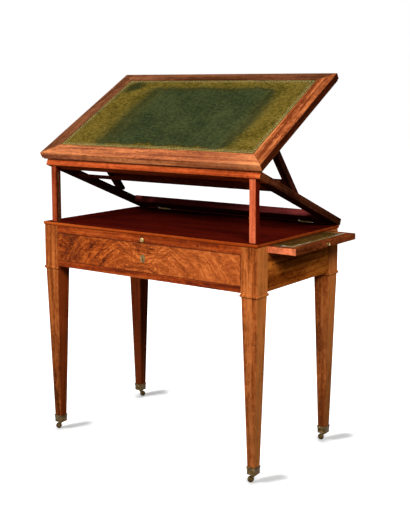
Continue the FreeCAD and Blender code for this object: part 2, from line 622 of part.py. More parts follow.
def writing_board():
    """Mitred moulded rails round a panel covered in leather, drawn flat from the board's hinge line."""
    front, back = "-board_nose", "board_back"
    inner_front, inner_back = f"{front} + margin_front", f"{back} - margin_back"
    inner_side = "board_half - margin_side"
    deep = ("board_low - board_round", "board_high + board_round")
    whole = ("-board_half", "board_half")
    for word, edge, inward, margin, inner in (("front", front, 1, "margin_front", inner_front),
                                              ("back", back, -1, "margin_back", inner_back)):
        bar = prism(f"board_{word}_bar", "YZ_Plane", edge_profile(edge, inward, margin), *whole)
        mitre = prism(f"board_{word}_mitre", "XY_Plane", [
            ("-board_half", edge), ("board_half", edge), (inner_side, inner),
            (f"-({inner_side})", inner)], *deep)
        rail = common(f"board_{word}", bar, mitre)
        if word == "front":
            tools = rebates("board", ("0", "leaf_wide"), ("board_low", "board_low + leaf_thick"))
            tools += pockets("board", ("-knuckle_room", "knuckle_room"))
            rail = cut("board_front_let_in", rail, tools)
        node(f"board_{word}_rail", on_board(rail))
    for word, sign in SIDES:
        bar = prism(f"board_{word}_bar", "XZ_Plane",
                    edge_profile(f"{sign} * board_half", -sign, "margin_side"), front, back)
        outer, inner = f"{sign} * board_half", f"{sign} * ({inner_side})"
        mitre = prism(f"board_{word}_mitre", "XY_Plane", [
            (outer, front), (outer, back), (inner, inner_back), (inner, inner_front)], *deep)
        node(f"board_side_rail_{word}", on_board(common(f"board_{word}", bar, mitre)))
    field = ((f"-({inner_side})", inner_side), (inner_front, inner_back))
    hide_low = "board_high - leather_thick"
    node("board_panel", on_board(slab("board_field", *field, ("panel_low", hide_low))))
    node("board_leather", on_board(slab("board_hide", *field, (hide_low, "board_high"))))


def easel():
    """Struts and bar of the easel that props the board on the frame's notches, and the blocks it turns on."""
    blocks = []
    for word, sign in SIDES:
        inside = mirrored("strut_in - block_gap - block_wide", "strut_in - block_gap", sign)
        block = plank("block_" + word, inside, centred("strut_seat", "block_long / 2"),
                      ("-strut_drop - pivot - block_chin", "panel_low"))
        pin = rod("pivot_pin_" + word, "pivot", "x", ("strut_seat", "-strut_drop"),
                  *mirrored("strut_in - block_gap - block_wide / 2", "strut_out", sign))
        blocks.append(join("pivot_block_" + word, [block, pin]))
        wide = mirrored("strut_in", "strut_out", sign)
        stem = [("0", "-strut_thick / 2"), ("strut_heel", "-strut_thick / 2"),
                ("strut_long + strut_toe", "strut_tip"), ("strut_long + strut_toe", "strut_thick / 2"),
                ("0", "strut_thick / 2")]
        pieces = [ease(prism("strut_stem_" + word, "YZ_Plane", stem, *wide)),
                  rod("strut_eye_" + word, "strut_thick / 2", "x", ("0", "0"), *wide),
                  rod("strut_peg_" + word, "peg", "x", ("strut_long", "0"),
                      *mirrored("strut_out - strut_wide / 2", "rail_inner + step_wide - peg_end", sign))]
        hole = rod("strut_hole_" + word, "pivot + pivot_play", "x", ("0", "0"), *wide)
        strut = cut("strut_" + word, join("strut_solid_" + word, pieces), [hole])
        node("easel_strut_" + word, place(strut, "0", "pivot_y", "pivot_z", "strut_turn"))
    bar = plank("easel_bar", ("-strut_in", "strut_in"), ("easel_bar_at", "easel_bar_at + easel_bar_wide"),
                centred("0", "easel_bar_thick / 2"))
    node("easel_cross_bar", place(bar, "0", "pivot_y", "pivot_z", "strut_turn"))
    node("strut_hinge_blocks", on_board(group("strut_hinge_blocks", blocks)))


def post(word, sign):
    """Telescoping post with a bevelled head and the ratchet strip let into its inner face."""
    front, back = centred("-stile_y", "post / 2")
    stem = ease(prism("post_stem_" + word, "YZ_Plane", [
        (front, "post_low"), (back, "post_low"), (back, "post_top - bevel"), (front, "post_top + bevel")],
        *centred(f"{sign} * stile_x", "post / 2")))
    face = "stile_x - post / 2"
    rack_high = "post_top - rack_end"
    pitch = f"post_drop / {RACK_TEETH}"
    bed = (mirrored(f"{face} - post_gap", f"{face} + rack_deep", sign), centred("-stile_y", "rack_wide / 2"),
           (f"{rack_high} - post_drop", rack_high))
    node("post_" + word, cut("post_" + word, stem, [box("rack_bed_" + word, *bed)]))
    back_x, root_x, tip_x = [f"{sign} * ({face} + {deep})" for deep in ("rack_deep", "tooth_deep", "0")]
    teeth = [(back_x, f"{rack_high} - post_drop"), (back_x, rack_high)]
    for k in range(RACK_TEETH):
        teeth += [(root_x, f"{rack_high} - {k} * {pitch}"), (tip_x, f"{rack_high} - {k + 1} * {pitch}")]
    node("post_rack_" + word, prism("rack_" + word, "XZ_Plane", teeth, *centred("-stile_y", "rack_wide / 2")))


def release():
    """Push button with its yoke, and the two bars that it draws out of the post racks."""
    knob = turned("button_turning", [
        ("0", "-button_stand - button_dome", "button ^ 2 / (2 * button_dome) + button_dome / 2"),
        ("button", "-button_stand"), ("button_stem", "-button_stand"), ("button_stem", "rail_deep + lid_gap"),
        ("0", "rail_deep + lid_gap")])
    place(knob, "0", "-half_deep", "button_z")
    slope = "bar_pin_at + stile_y + (bar_pin + yoke_gap / 2) * sqrt(2)"
    mouth, root = "yoke_y + yoke_long", "yoke_y + yoke_web"
    wide, narrow = f"{slope} + {mouth}", f"{slope} + {root}"
    plate = prism("yoke_plate", "XY_Plane", [
        ("-yoke_half", "yoke_y"), ("yoke_half", "yoke_y"), ("yoke_half", mouth), (wide, mouth),
        (narrow, root), (f"-({narrow})", root), (f"-({wide})", mouth), ("-yoke_half", mouth)],
        "bar_high + yoke_gap", "bar_high + yoke_gap + yoke_thick")
    neck = box("yoke_neck", centred("0", "button_stem + bar_pin"), ("yoke_y", root),
               ("button_z - button_stem", "bar_high + yoke_gap"))
    node("release_button", group("release_button", [knob, join("yoke", [plate, neck])]))
    for word, sign in SIDES:
        bar = plank("bar_" + word, mirrored("bar_inner", "bar_tip", sign),
                    centred("-stile_y", "bar_thick / 2"), ("bar_low", "bar_high"))
        pin = rod("bar_pin_" + word, "bar_pin", "z", (f"{sign} * bar_pin_at", "-stile_y"), "bar_low",
                  "bar_high + yoke_gap + yoke_thick")
        node("release_bar_" + word, join("release_bar_" + word, [bar, pin]))


def write_parts():
    """Check every object and write each node to its own file."""
    doc.recompute()
    failed = [o.Label for o in doc.Objects if {"Invalid", "Error"} & set(o.State)]
    failed += [n.Label for n in nodes if n.Shape.isNull() or not n.Shape.isValid() or not n.Shape.Solids]
    if failed:
        raise RuntimeError("failed: " + ", ".join(failed))
    os.makedirs("parts", exist_ok=True)
    for piece in nodes:
        piece.Shape.exportStep(f"parts/{piece.Label}.step")
        print(f"{piece.Label}: {len(piece.Shape.Solids)} solids, {piece.Shape.Volume / 1000:.1f} cm3")
    print(len(nodes), "nodes, joint places in mm and degrees:")
    for name in ("axis_y", "axis_z", "board_axis_y", "board_axis_z", "pivot_y", "pivot_z", "strut_turn",
                 "stile_x", "stile_y", "button_z", "post_top"):
        print(f"  {name} = {number(name):.4f}")


for leg_name, leg_x, leg_y in LEGS:
    leg(leg_name, leg_x, leg_y)
    caster(leg_name, leg_x, leg_y)
node("brass_sabots", group("brass_sabots", [sabot(*each) for each in LEGS]))
desk_top()
carcass()
drawer()
side_slide("left", -1, "0")
side_slide("right", 1, "slide_out")
hinges()
rising_frame()
writing_board()
easel()
for post_word, post_sign in SIDES:
    post(post_word, post_sign)
release()
write_parts()
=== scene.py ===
"""Looks of a double-rising architect table: polished mahogany, tooled leather and aged brass.

Every length is in metres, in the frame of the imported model: +X to the sitter's right, -Y towards the sitter.
"""

import logging
import math
from dataclasses import dataclass, field
from enum import Enum
from functools import cache

import bmesh
import bpy
import numpy as np
from mathutils import Euler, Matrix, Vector

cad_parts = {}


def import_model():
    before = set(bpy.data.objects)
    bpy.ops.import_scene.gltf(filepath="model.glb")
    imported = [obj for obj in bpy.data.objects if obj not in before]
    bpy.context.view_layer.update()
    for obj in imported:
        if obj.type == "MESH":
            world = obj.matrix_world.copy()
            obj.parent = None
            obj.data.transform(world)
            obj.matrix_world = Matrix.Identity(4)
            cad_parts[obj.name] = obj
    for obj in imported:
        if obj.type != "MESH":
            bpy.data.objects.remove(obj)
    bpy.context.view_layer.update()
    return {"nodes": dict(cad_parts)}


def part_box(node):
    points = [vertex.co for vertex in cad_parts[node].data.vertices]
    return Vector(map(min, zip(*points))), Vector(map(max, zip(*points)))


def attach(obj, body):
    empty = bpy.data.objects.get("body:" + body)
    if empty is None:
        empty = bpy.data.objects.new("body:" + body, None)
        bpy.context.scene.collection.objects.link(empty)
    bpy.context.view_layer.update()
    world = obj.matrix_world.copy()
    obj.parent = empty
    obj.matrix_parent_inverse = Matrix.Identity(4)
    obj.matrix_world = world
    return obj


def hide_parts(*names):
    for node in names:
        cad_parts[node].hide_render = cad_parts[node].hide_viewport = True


LOG = logging.getLogger("architect_table")
Pair = tuple[float, float]
Place = tuple[float, float, float]
Colour = tuple[float, float, float]
Tones = tuple[Colour, Colour, Colour]
Material = bpy.types.Material
Piece = bpy.types.Object
Tree = bpy.types.NodeTree
Socket = bpy.types.NodeSocket
Value = Socket | float
Tint = Socket | Colour

# Lean of the frame, the board and the struts at rest, in degrees.
FRAME_TILT = 21.6
BOARD_TILT = 30.35
STRUT_TILT = -51.1737
# Middles of the hinge pins, half the gap between their leaves, the top of the base, the places of the legs.
REAR_HINGE: Place = (0.0, 0.246, 0.7203)
BOARD_HINGE: Place = (0.0, -0.2233995, 0.9304553)
LEAF_GAP = 0.0003
BASE_TOP = 0.72
LEG_SPREAD: Pair = (0.39525, 0.21175)
# Leather of the board, from the board's hinge: its reach across, its reach up the slope and its upper face.
SHEET_X: Pair = (-0.383, 0.383)
SHEET_S: Pair = (0.044, 0.463)
SHEET_TOP = 0.0268
# Directions, the cosines between which a face comes to look along one, and the usual range of a noise.
RIGHT: Place = (1.0, 0.0, 0.0)
UP: Place = (0.0, 0.0, 1.0)
FACE_ON: Pair = (0.5, 0.9)
NOISE_SPAN: Pair = (0.3, 0.7)


class Grain(Enum):
    """Run of the fibres in a piece, as the turn in degrees that lays them along X."""

    ACROSS = (0.0, 0.0, 0.0)
    DEEP = (0.0, 0.0, -90.0)
    UPRIGHT = (0.0, 90.0, 0.0)
    FRAME_ACROSS = (FRAME_TILT, 0.0, 0.0)
    FRAME_SLOPE = (FRAME_TILT, 0.0, -90.0)
    BOARD_ACROSS = (-BOARD_TILT, 0.0, 0.0)
    BOARD_SLOPE = (-BOARD_TILT, 0.0, -90.0)
    STRUT_SLOPE = (-STRUT_TILT, 0.0, -90.0)


class Graph:
    """Short hand for laying nodes in a material or a node group."""

    def __init__(self, tree: Tree) -> None:
        """Keep the tree that the nodes go into."""
        self.tree = tree

    def put(self, socket: Socket, value: object) -> None:
        """Link a socket to another one, or set it to a constant.

        Args:
            socket: Input of a node.
            value: Output of another node, or a number, vector or colour.
        """
        if isinstance(value, Socket):
            self.tree.links.new(value, socket)
        elif isinstance(value, tuple) and socket.type == "RGBA":
            socket.default_value = (*value, 1.0)
        else:
            socket.default_value = value

    def feed(self, node: bpy.types.Node, values: dict[str | int, object]) -> bpy.types.Node:
        """Put values on inputs of a node.

        Args:
            node: The node.
            values: Values by the name or number of the input.

        Returns:
            The same node.
        """
        for key, value in values.items():
            self.put(node.inputs[key], value)
        return node

    def node(self, kind: str, *values: object, **settings: object) -> bpy.types.Node:
        """Add a node, set its own properties and fill its first inputs in order.

        Args:
            kind: Blender's name of the node type.
            values: Values for the first inputs.
            settings: Properties of the node by name.

        Returns:
            The new node.
        """
        made = self.tree.nodes.new(kind)
        for name, value in settings.items():
            setattr(made, name, value)
        return self.feed(made, dict(enumerate(values)))

    def math(self, operation: str, *values: Value, clamp: bool = False) -> Socket:
        """Result of a number operation on one to three values."""
        return self.node("ShaderNodeMath", *values, operation=operation, use_clamp=clamp).outputs[0]

    def swing(self, noise: Socket, weight: float, base: Value = 0.0, clamp: bool = False) -> Socket:
        """Sum of a base and a weighted noise that is centred on nought first."""
        return self.math("MULTIPLY_ADD", self.math("SUBTRACT", noise, 0.5), weight, base, clamp=clamp)

    def vector(self, operation: str, first: object, second: object) -> Socket:
        """Vector that a vector operation gives."""
        return self.node("ShaderNodeVectorMath", first, second, operation=operation).outputs["Vector"]

    def measure(self, operation: str, first: object, second: object) -> Socket:
        """Number that a vector operation gives, such as a distance."""
        return self.node("ShaderNodeVectorMath", first, second, operation=operation).outputs["Value"]

    def parts(self, vector: Socket) -> tuple[Socket, ...]:
        """X, Y and Z of a vector."""
        return tuple(self.node("ShaderNodeSeparateXYZ", vector).outputs)

    def joined(self, x: Value, y: Value, z: Value) -> Socket:
        """Vector made from three values."""
        return self.node("ShaderNodeCombineXYZ", x, y, z).outputs[0]

    def noise(self, vector: Socket, stretch: Place, detail: float = 3.0, distortion: float = 0.0,
              roughness: float = 0.55, colour: bool = False) -> Socket:
        """Noise with a number of features per metre along each axis.

        Args:
            vector: Place in metres.
            stretch: Features per metre along X, Y and Z.
            detail: Octaves of finer noise.
            distortion: How far the noise is pulled about.
            roughness: Weight of the finer octaves.
            colour: Whether to give three noises as a colour.

        Returns:
            The noise, around one half.
        """
        made = self.feed(self.node("ShaderNodeTexNoise"), {
            "Vector": self.vector("MULTIPLY", vector, stretch), "Scale": 1.0, "Detail": detail,
            "Distortion": distortion, "Roughness": roughness})
        return made.outputs[1 if colour else 0]

    def span(self, value: Value, low: Value, high: Value, to_low: Value = 0.0,
             to_high: Value = 1.0) -> Socket:
        """Smooth step of a value between two limits."""
        limits = (low, high, to_low, to_high)
        return self.node("ShaderNodeMapRange", value, *limits, interpolation_type="SMOOTHSTEP").outputs[0]

    def mix(self, factor: Value, first: Tint, second: Tint, blend: str = "MIX") -> Socket:
        """Blend of two colours, which are inputs 6 and 7 of the node."""
        made = self.node("ShaderNodeMix", factor, data_type="RGBA", blend_type=blend)
        return self.feed(made, {6: first, 7: second}).outputs[2]

    def ramp(self, factor: Socket, *colours: Colour) -> Socket:
        """Colour ramp with its colours spread evenly.

        Args:
            factor: Place on the ramp, from nought to one.
            colours: The colours in order.

        Returns:
            The colour at that place.
        """
        made = self.node("ShaderNodeValToRGB", factor)
        stops = made.color_ramp.elements
        while len(stops) < len(colours):
            stops.new(0.5)
        for index, colour in enumerate(colours):
            stops[index].position = index / (len(colours) - 1)
            stops[index].color = (*colour, 1.0)
        return made.outputs[0]

    def bump(self, height: Socket, strength: float, depth: float) -> Socket:
        """Normal bent by a height of a given depth."""
        values = {"Strength": strength, "Distance": depth, "Height": height}
        return self.feed(self.node("ShaderNodeBump"), values).outputs[0]

    def place(self, turn: Place = (0.0, 0.0, 0.0), centre: Place = (0.0, 0.0, 0.0)) -> Socket:
        """Object coordinates counted from a centre and then turned.

        Args:
            turn: Turn about X, Y and Z in degrees.
            centre: Point that becomes the origin.

        Returns:
            The turned place in metres.
        """
        angles = Euler([math.radians(a) for a in turn])
        shift = -(angles.to_matrix() @ Vector(centre))
        coords = self.node("ShaderNodeTexCoord").outputs["Object"]
        return self.node("ShaderNodeMapping", coords, shift, angles).outputs[0]

    def facing(self, way: Place) -> Socket:
        """How far a face looks along a direction, as a cosine."""
        return self.measure("DOT_PRODUCT", self.node("ShaderNodeTexCoord").outputs["Normal"], way)

    def effect(self, group: Tree, **values: object) -> dict[str, Socket]:
        """Place a shared effect and give its outputs by name."""
        made = self.feed(self.node("ShaderNodeGroup", node_tree=group), values)
        return {socket.name: socket for socket in made.outputs}


class Effects:
    """Shader node groups that several finishes share, each built once."""

    @staticmethod
    def group(name: str, inputs: dict[str, str], outputs: tuple[str, ...]
              ) -> tuple[Graph, dict[str, Socket], bpy.types.Node]:
        """Start a node group with named sockets.

        Args:
            name: Name of the group.
            inputs: Socket types by input name.
            outputs: Names of the outputs, which are all numbers.

        Returns:
            Its graph, its input sockets by name and its output node.
        """
        tree = bpy.data.node_groups.new(name, "ShaderNodeTree")
        for way, sockets in (("INPUT", inputs), ("OUTPUT", dict.fromkeys(outputs, "Float"))):
            for label, kind in sockets.items():
                tree.interface.new_socket(name=label, in_out=way, socket_type="NodeSocket" + kind)
        graph = Graph(tree)
        given = graph.node("NodeGroupInput")
        return graph, {s.name: s for s in given.outputs if s.name}, graph.node("NodeGroupOutput")

    @classmethod
    @cache
    def timber(cls) -> Tree:
        """Lay the streaks, ribbons, mottle and pores of straight-grained mahogany with its fibres along X.

        Returns:
            The node group.
        """
        graph, given, out = cls.group("timber_figure", {"Vector": "Vector"}, ("Figure", "Pores", "Mottle"))
        place = given["Vector"]
        streak = graph.noise(place, (3.5, 85.0, 85.0), 5.0, 0.5, 0.62)
        ribbon = graph.noise(place, (1.3, 17.0, 17.0), 2.0, 0.8)
        mottle = graph.noise(place, (34.0, 62.0, 62.0), 5.0, 1.6, 0.62)
        pores = graph.noise(place, (42.0, 950.0, 950.0), 1.0)
        figure = graph.swing(ribbon, 1.7, graph.swing(streak, 2.5, 0.5))
        figure = graph.swing(mottle, 1.7, figure, clamp=True)
        graph.feed(out, {"Figure": figure, "Pores": graph.span(pores, 0.56, 0.74), "Mottle": mottle})
        return graph.tree

    @classmethod
    @cache
    def flame(cls) -> Tree:
        """Lay a crotch figure: rings about a heart below the drawer, book-matched and pulled into curls.

        Returns:
            The node group.
        """
        graph, given, out = cls.group("flame_figure", {"Vector": "Vector"}, ("Figure", "Curl"))
        place = pulled = given["Vector"]
        for stretch, detail, pull in (((5.0, 5.0, 8.0), 1.0, (0.07, 0.0, 0.045)),
                                      ((27.0, 27.0, 38.0), 4.0, (0.022, 0.0, 0.017))):
            noise = graph.noise(place, stretch, detail, colour=True)
            drift = graph.vector("SUBTRACT", noise, (0.5, 0.5, 0.5))
            pulled = graph.vector("ADD", pulled, graph.vector("MULTIPLY", drift, pull))
        x, _, z = graph.parts(pulled)
        mirrored = graph.math("ABSOLUTE", x)
        rise = graph.math("MULTIPLY", graph.math("SUBTRACT", z, -0.11), 1.5)
        heart = graph.measure("DISTANCE", graph.joined(mirrored, 0.0, rise), (0.0, 0.0, 0.0))
        rings = graph.noise(graph.joined(heart, mirrored, z), (74.0, 9.0, 16.0), 6.0, 0.6, 0.64)
        half = graph.joined(mirrored, 0.0, z)
        curl = graph.noise(half, (26.0, 1.0, 48.0), 4.0, 2.2)
        fleck = graph.noise(half, (120.0, 1.0, 240.0), 3.0, 1.0)
        figure = graph.swing(curl, 1.5, graph.swing(rings, 2.0, 0.5))
        graph.feed(out, {"Figure": graph.swing(fleck, 1.2, figure, clamp=True), "Curl": curl})
        return graph.tree

    @classmethod
    @cache
    def edges(cls) -> Tree:
        """Lay a mask of rubbed edges: where a rounded normal leaves the true one, in patches.

        Returns:
            The node group.
        """
        graph, given, out = cls.group("rubbed_edges", {"Vector": "Vector", "Reach": "Float"}, ("Edge",))
        soft = graph.node("ShaderNodeBevel", given["Reach"], samples=6).outputs[0]
        true = graph.node("ShaderNodeNewGeometry").outputs["True Normal"]
        bend = graph.math("SUBTRACT", 1.0, graph.measure("DOT_PRODUCT", soft, true))
        patches = graph.span(graph.noise(given["Vector"], (34.0, 34.0, 34.0), 3.0), 0.34, 0.62)
        edge = graph.math("MULTIPLY", graph.span(bend, 0.02, 0.22), patches, clamp=True)
        graph.feed(out, {"Edge": edge})
        return graph.tree

    @classmethod
    @cache
    def patina(cls) -> Tree:
        """Lay the broad blotches and fine specks of age.

        Returns:
            The node group.
        """
        graph, given, out = cls.group("patina", {"Vector": "Vector", "Scale": "Float"}, ("Blotch", "Speck"))
        place = graph.vector("MULTIPLY", given["Vector"], given["Scale"])
        blotch = graph.noise(place, (1.0, 1.0, 1.0), 4.0, 0.7)
        speck = graph.noise(place, (19.0, 19.0, 19.0), 3.0)
        graph.feed(out, {"Blotch": graph.span(blotch, 0.36, 0.66), "Speck": graph.span(speck, 0.55, 0.72)})
        return graph.tree


def blank_material(name: str) -> tuple[Material, Graph, bpy.types.Node]:
    """New material with its graph and its shader.

    Args:
        name: Name of the finish.

    Returns:
        The material, its graph and its Principled shader.
    """
    material = bpy.data.materials.new(name)
    material.use_nodes = True
    return material, Graph(material.node_tree), material.node_tree.nodes["Principled BSDF"]


@dataclass(frozen=True)
class Wood:
    """Polished straight-grained timber, with a painted tone on the faces that look along one direction:
    painted shade on most woods, a painted highlight on the slides' fronts, painted bounce light under the rear
    rail.
    """

    name: str
    tones: Tones
    grain: Grain
    edge: Colour = (0.5, 0.15, 0.045)
    rub: float = 0.4
    rub_reach: float = 0.0022
    pores: float = 0.45
    blotch: float = 0.4
    blotches: float = 7.0
    roughness: float = 0.38
    polish: Pair = (-0.07, 0.09)
    coat: float = 0.02
    coat_roughness: float = 0.14
    shine: float = 0.03
    bump: Pair = (0.16, 0.0006)
    # Painted light and shade: faces that look along this direction take the next tone, in three steps.
    painted_face_way: Place = (0.0, 0.0, 0.0)
    shade: Colour = (0.1, 0.02, 0.005)
    shade_steps: tuple[float, float, float] = (0.5, 1.05, 1.25)
    # Painted shade: the colour is multiplied by this tone towards the floor, between the two heights below.
    foot: Colour = (0.81, 0.86, 0.96)
    painted_shade_rise: Pair = (0.2, 0.57)

    def material(self) -> Material:
        """Mix streaks, pores, blotches, rubbed edges, a painted tone on the faces along one direction and
        painted shade towards the floor, under wax.

        Returns:
            The material.
        """
        material, graph, shader = blank_material(self.name)
        place = graph.place(self.grain.value)
        timber = graph.effect(Effects.timber(), Vector=place)
        age = graph.effect(Effects.patina(), Vector=place, Scale=self.blotches)
        rubbed = graph.effect(Effects.edges(), Vector=place, Reach=self.rub_reach)["Edge"]
        pores = graph.math("MULTIPLY", timber["Pores"], self.pores)
        blotch = graph.math("MULTIPLY", age["Blotch"], self.blotch)
        # Tones of the faces along the direction: painted shade, or a painted highlight where the tone is
        # bright.
        shaded = tuple(tuple(step * part for part in self.shade) for step in self.shade_steps)
        sides = []
        for tones in (self.tones, shaded):
            streaked = graph.mix(pores, graph.ramp(timber["Figure"], *tones), tones[0])
            sides.append(graph.mix(blotch, streaked, tones[0]))
        colour = graph.mix(graph.span(graph.facing(self.painted_face_way), *FACE_ON), *sides)
        colour = graph.mix(graph.math("MULTIPLY", rubbed, self.rub), colour, self.edge)
        # Painted shade, darker towards the floor.
        low = graph.span(graph.parts(graph.place())[2], *self.painted_shade_rise, 1.0, 0.0)
        gloss = graph.span(timber["Mottle"], *NOISE_SPAN, *(self.roughness + step for step in self.polish))
        height = graph.math("MULTIPLY_ADD", timber["Pores"], -0.8, timber["Figure"])
        graph.feed(shader, {
            "Base Color": graph.mix(low, colour, self.foot, "MULTIPLY"),
            "Roughness": graph.math("MULTIPLY_ADD", age["Speck"], 0.1, gloss),
            "Coat Weight": self.coat,
            "Coat Roughness": self.coat_roughness,
            "Specular IOR Level": self.shine,
            "Normal": graph.bump(height, *self.bump)})
        return material


@dataclass(frozen=True)
class FlameVeneer:
    """Book-matched crotch veneer of the drawer front, with painted shade of the gap all round its edge."""

    name: str
    tones: Tones
    centre: Place
    half: Pair
    calm: Pair = (0.02, 0.2)
    bleach: tuple[Colour, Colour] = ((0.95, 0.82, 0.6), (1.35, 1.55, 1.9))
    bleach_run: Pair = (-0.3, 0.3)
    dim_run: Pair = (-0.16, -0.34)
    # Painted shade of the gap round the drawer: width and tone of the darkening at the edges.
    painted_gap_shade: float = 0.0028
    painted_gap_shade_tone: Colour = (0.03, 0.008, 0.004)
    blotches: float = 9.0
    polish: Pair = (0.25, 0.4)
    coat: float = 0.02
    coat_roughness: float = 0.12
    shine: float = 0.03
    bump: Pair = (0.12, 0.0004)

    def material(self) -> Material:
        """Mix a curled figure, calmer and paler to the right, dim at its left end and with painted gap shade
        at its edges.

        Returns:
            The material.
        """
        material, graph, shader = blank_material(self.name)
        dark, mid, _ = self.tones
        place = graph.place(centre=self.centre)
        flame = graph.effect(Effects.flame(), Vector=place)
        age = graph.effect(Effects.patina(), Vector=place, Scale=self.blotches)
        x, _, z = graph.parts(place)
        colour = graph.ramp(flame["Figure"], *self.tones)
        colour = graph.mix(graph.span(x, *self.calm, 0.0, 0.45), colour, mid)
        bleach = graph.mix(graph.span(x, *self.bleach_run), *self.bleach)
        colour = graph.mix(1.0, colour, bleach, "MULTIPLY")
        dim = graph.math("MULTIPLY", graph.span(x, *self.dim_run, 0.0, 0.75), age["Blotch"])
        colour = graph.mix(dim, colour, dark)
        inset = [graph.math("SUBTRACT", half, graph.math("ABSOLUTE", at))
                 for half, at in zip(self.half, (x, z))]
        # Painted shade of the gap, darkest at the edge.
        painted_gap_shade = graph.span(graph.math("MINIMUM", *inset), 0.0, self.painted_gap_shade, 0.85, 0.0)
        graph.feed(shader, {
            "Base Color": graph.mix(painted_gap_shade, colour, self.painted_gap_shade_tone),
            "Roughness": graph.span(flame["Curl"], *NOISE_SPAN, *self.polish),
            "Coat Weight": self.coat,
            "Coat Roughness": self.coat_roughness,
            "Specular IOR Level": self.shine,
            "Normal": graph.bump(flame["Figure"], *self.bump)})
        return material


@dataclass(frozen=True)
class TopBoard:
    """Fixed top of the base: deep red polish above, darkened with painted shade and painted reflection of the
    board above it; rail colour on its moulded edge, with painted shade on its right-facing part.
    """

    name: str
    deep: tuple[Colour, Colour]
    rail: Wood
    level: Pair = (0.93, 0.995)
    blotches: float = 5.0
    rub: float = 0.5
    rub_reach: float = 0.002
    polish: Pair = (0.24, 0.36)
    bump: Pair = (0.08, 0.0003)

    def material(self) -> Material:
        """Mix two tones that part by the way the face looks.

        Returns:
            The material.
        """
        material, graph, shader = blank_material(self.name)
        dark, mid, light = self.rail.tones
        place = graph.place(self.rail.grain.value)
        timber = graph.effect(Effects.timber(), Vector=place)
        age = graph.effect(Effects.patina(), Vector=place, Scale=self.blotches)
        rubbed = graph.effect(Effects.edges(), Vector=place, Reach=self.rub_reach)["Edge"]
        edge = graph.ramp(timber["Figure"], mid, light)
        # Painted shade on the faces of the edge that look to the right.
        edge = graph.mix(graph.span(graph.facing(RIGHT), *FACE_ON, 0.0, 0.45), edge, dark)
        face = graph.ramp(timber["Figure"], *self.deep)
        colour = graph.mix(graph.span(graph.facing(UP), *self.level), edge, face)
        graph.feed(shader, {
            "Base Color": graph.mix(graph.math("MULTIPLY", rubbed, self.rub), colour, self.rail.edge),
            "Roughness": graph.span(age["Blotch"], 0.0, 1.0, *self.polish),
            "Specular IOR Level": 0.0,
            "Normal": graph.bump(timber["Pores"], *self.bump)})
        return material


@dataclass(frozen=True)
class Hide:
    """Writing leather: bottle green in the middle, faded to olive towards its edges."""

    name: str
    green: tuple[Colour, Colour]
    olive: tuple[Colour, Colour]
    turn: Place
    centre: Place
    half: Pair
    fade: tuple[float, float, float, float]
    fade_steps: Pair = (0.35, 1.1)
    stain: Place = (9.0, 0.0, 0.0)
    stain_reach: Pair = (0.018, 0.055)
    dark_ring: float = 0.6
    drift: float = 0.07
    pebbles: float = 620.0
    polish: Pair = (0.42, 0.58)
    bump: Pair = (0.25, 0.0003)

    def material(self) -> Material:
        """Mix faded colour, a darker ring round the green, specks, a stain and pebble grain.

        Returns:
            The material.
        """
        material, graph, shader = blank_material(self.name)
        place = graph.place(self.turn, self.centre)
        x, y, _ = graph.parts(place)
        cloud = graph.noise(place, (11.0, 11.0, 11.0), 5.0, 0.7)
        drift = graph.swing(cloud, self.drift)
        edges = [graph.math(way, half, at)
                 for half, at in zip(self.half, (x, y)) for way in ("ADD", "SUBTRACT")]
        kept = 1.0
        for edge, reach in zip(edges, self.fade):
            inside = graph.span(graph.math("ADD", edge, drift), *(step * reach for step in self.fade_steps))
            kept = graph.math("MULTIPLY", kept, inside)
        fine = graph.swing(cloud, 0.6, graph.noise(place, (85.0, 105.0, 105.0), 6.0, 0.5, 0.6))
        faded = graph.mix(graph.span(fine, *NOISE_SPAN), *self.olive)
        colour = graph.mix(kept, faded, graph.mix(graph.span(fine, 0.26, 0.74), *self.green))
        dark_ring = graph.span(kept, 0.6, 0.98, self.dark_ring, 0.0)
        dark_ring = graph.math("MULTIPLY", graph.span(kept, 0.15, 0.6), dark_ring)
        speck = graph.span(graph.noise(place, (210.0, 210.0, 210.0), 3.0), 0.6, 0.72, 0.0, 0.35)
        spot = graph.math("MULTIPLY_ADD", drift, 0.5, graph.measure("DISTANCE", place, self.stain))
        for mask in (dark_ring, speck, graph.span(spot, *self.stain_reach, 0.8, 0.0)):
            colour = graph.mix(mask, colour, self.green[0])
        pebble = graph.feed(graph.node("ShaderNodeTexVoronoi", feature="DISTANCE_TO_EDGE"),
                            {"Vector": place, "Scale": self.pebbles}).outputs["Distance"]
        height = graph.math("MULTIPLY_ADD", fine, 0.7, graph.span(pebble, 0.0, 0.25))
        graph.feed(shader, {
            "Base Color": colour,
            "Roughness": graph.span(fine, *NOISE_SPAN, *self.polish),
            "Specular IOR Level": 0.0,
            "Normal": graph.bump(height, *self.bump)})
        return material


@dataclass(frozen=True)
class Metal:
    """Cast or forged metal with a dark skin that is rubbed bright on the edges."""

    name: str
    bright: Colour
    skin: Colour
    cover: float
    roughness: float = 0.38
    blotches: float = 95.0
    rub: float = 0.6
    rub_reach: float = 0.0008
    bump: Pair = (0.12, 0.0002)

    def material(self) -> Material:
        """Mix metal under uneven tarnish.

        Returns:
            The material.
        """
        material, graph, shader = blank_material(self.name)
        place = graph.place()
        age = graph.effect(Effects.patina(), Vector=place, Scale=self.blotches)
        rubbed = graph.effect(Effects.edges(), Vector=place, Reach=self.rub_reach)["Edge"]
        cover = graph.math("MULTIPLY_ADD", age["Blotch"], 0.5, self.cover, clamp=True)
        cover = graph.math("SUBTRACT", cover, graph.math("MULTIPLY", rubbed, self.rub), clamp=True)
        gloss = graph.span(age["Speck"], 0.0, 1.0, self.roughness - 0.1, self.roughness)
        graph.feed(shader, {
            "Base Color": graph.mix(cover, self.bright, self.skin),
            "Roughness": graph.math("MULTIPLY_ADD", cover, 0.22, gloss),
            "Metallic": 1.0,
            "Normal": graph.bump(age["Speck"], *self.bump)})
        return material


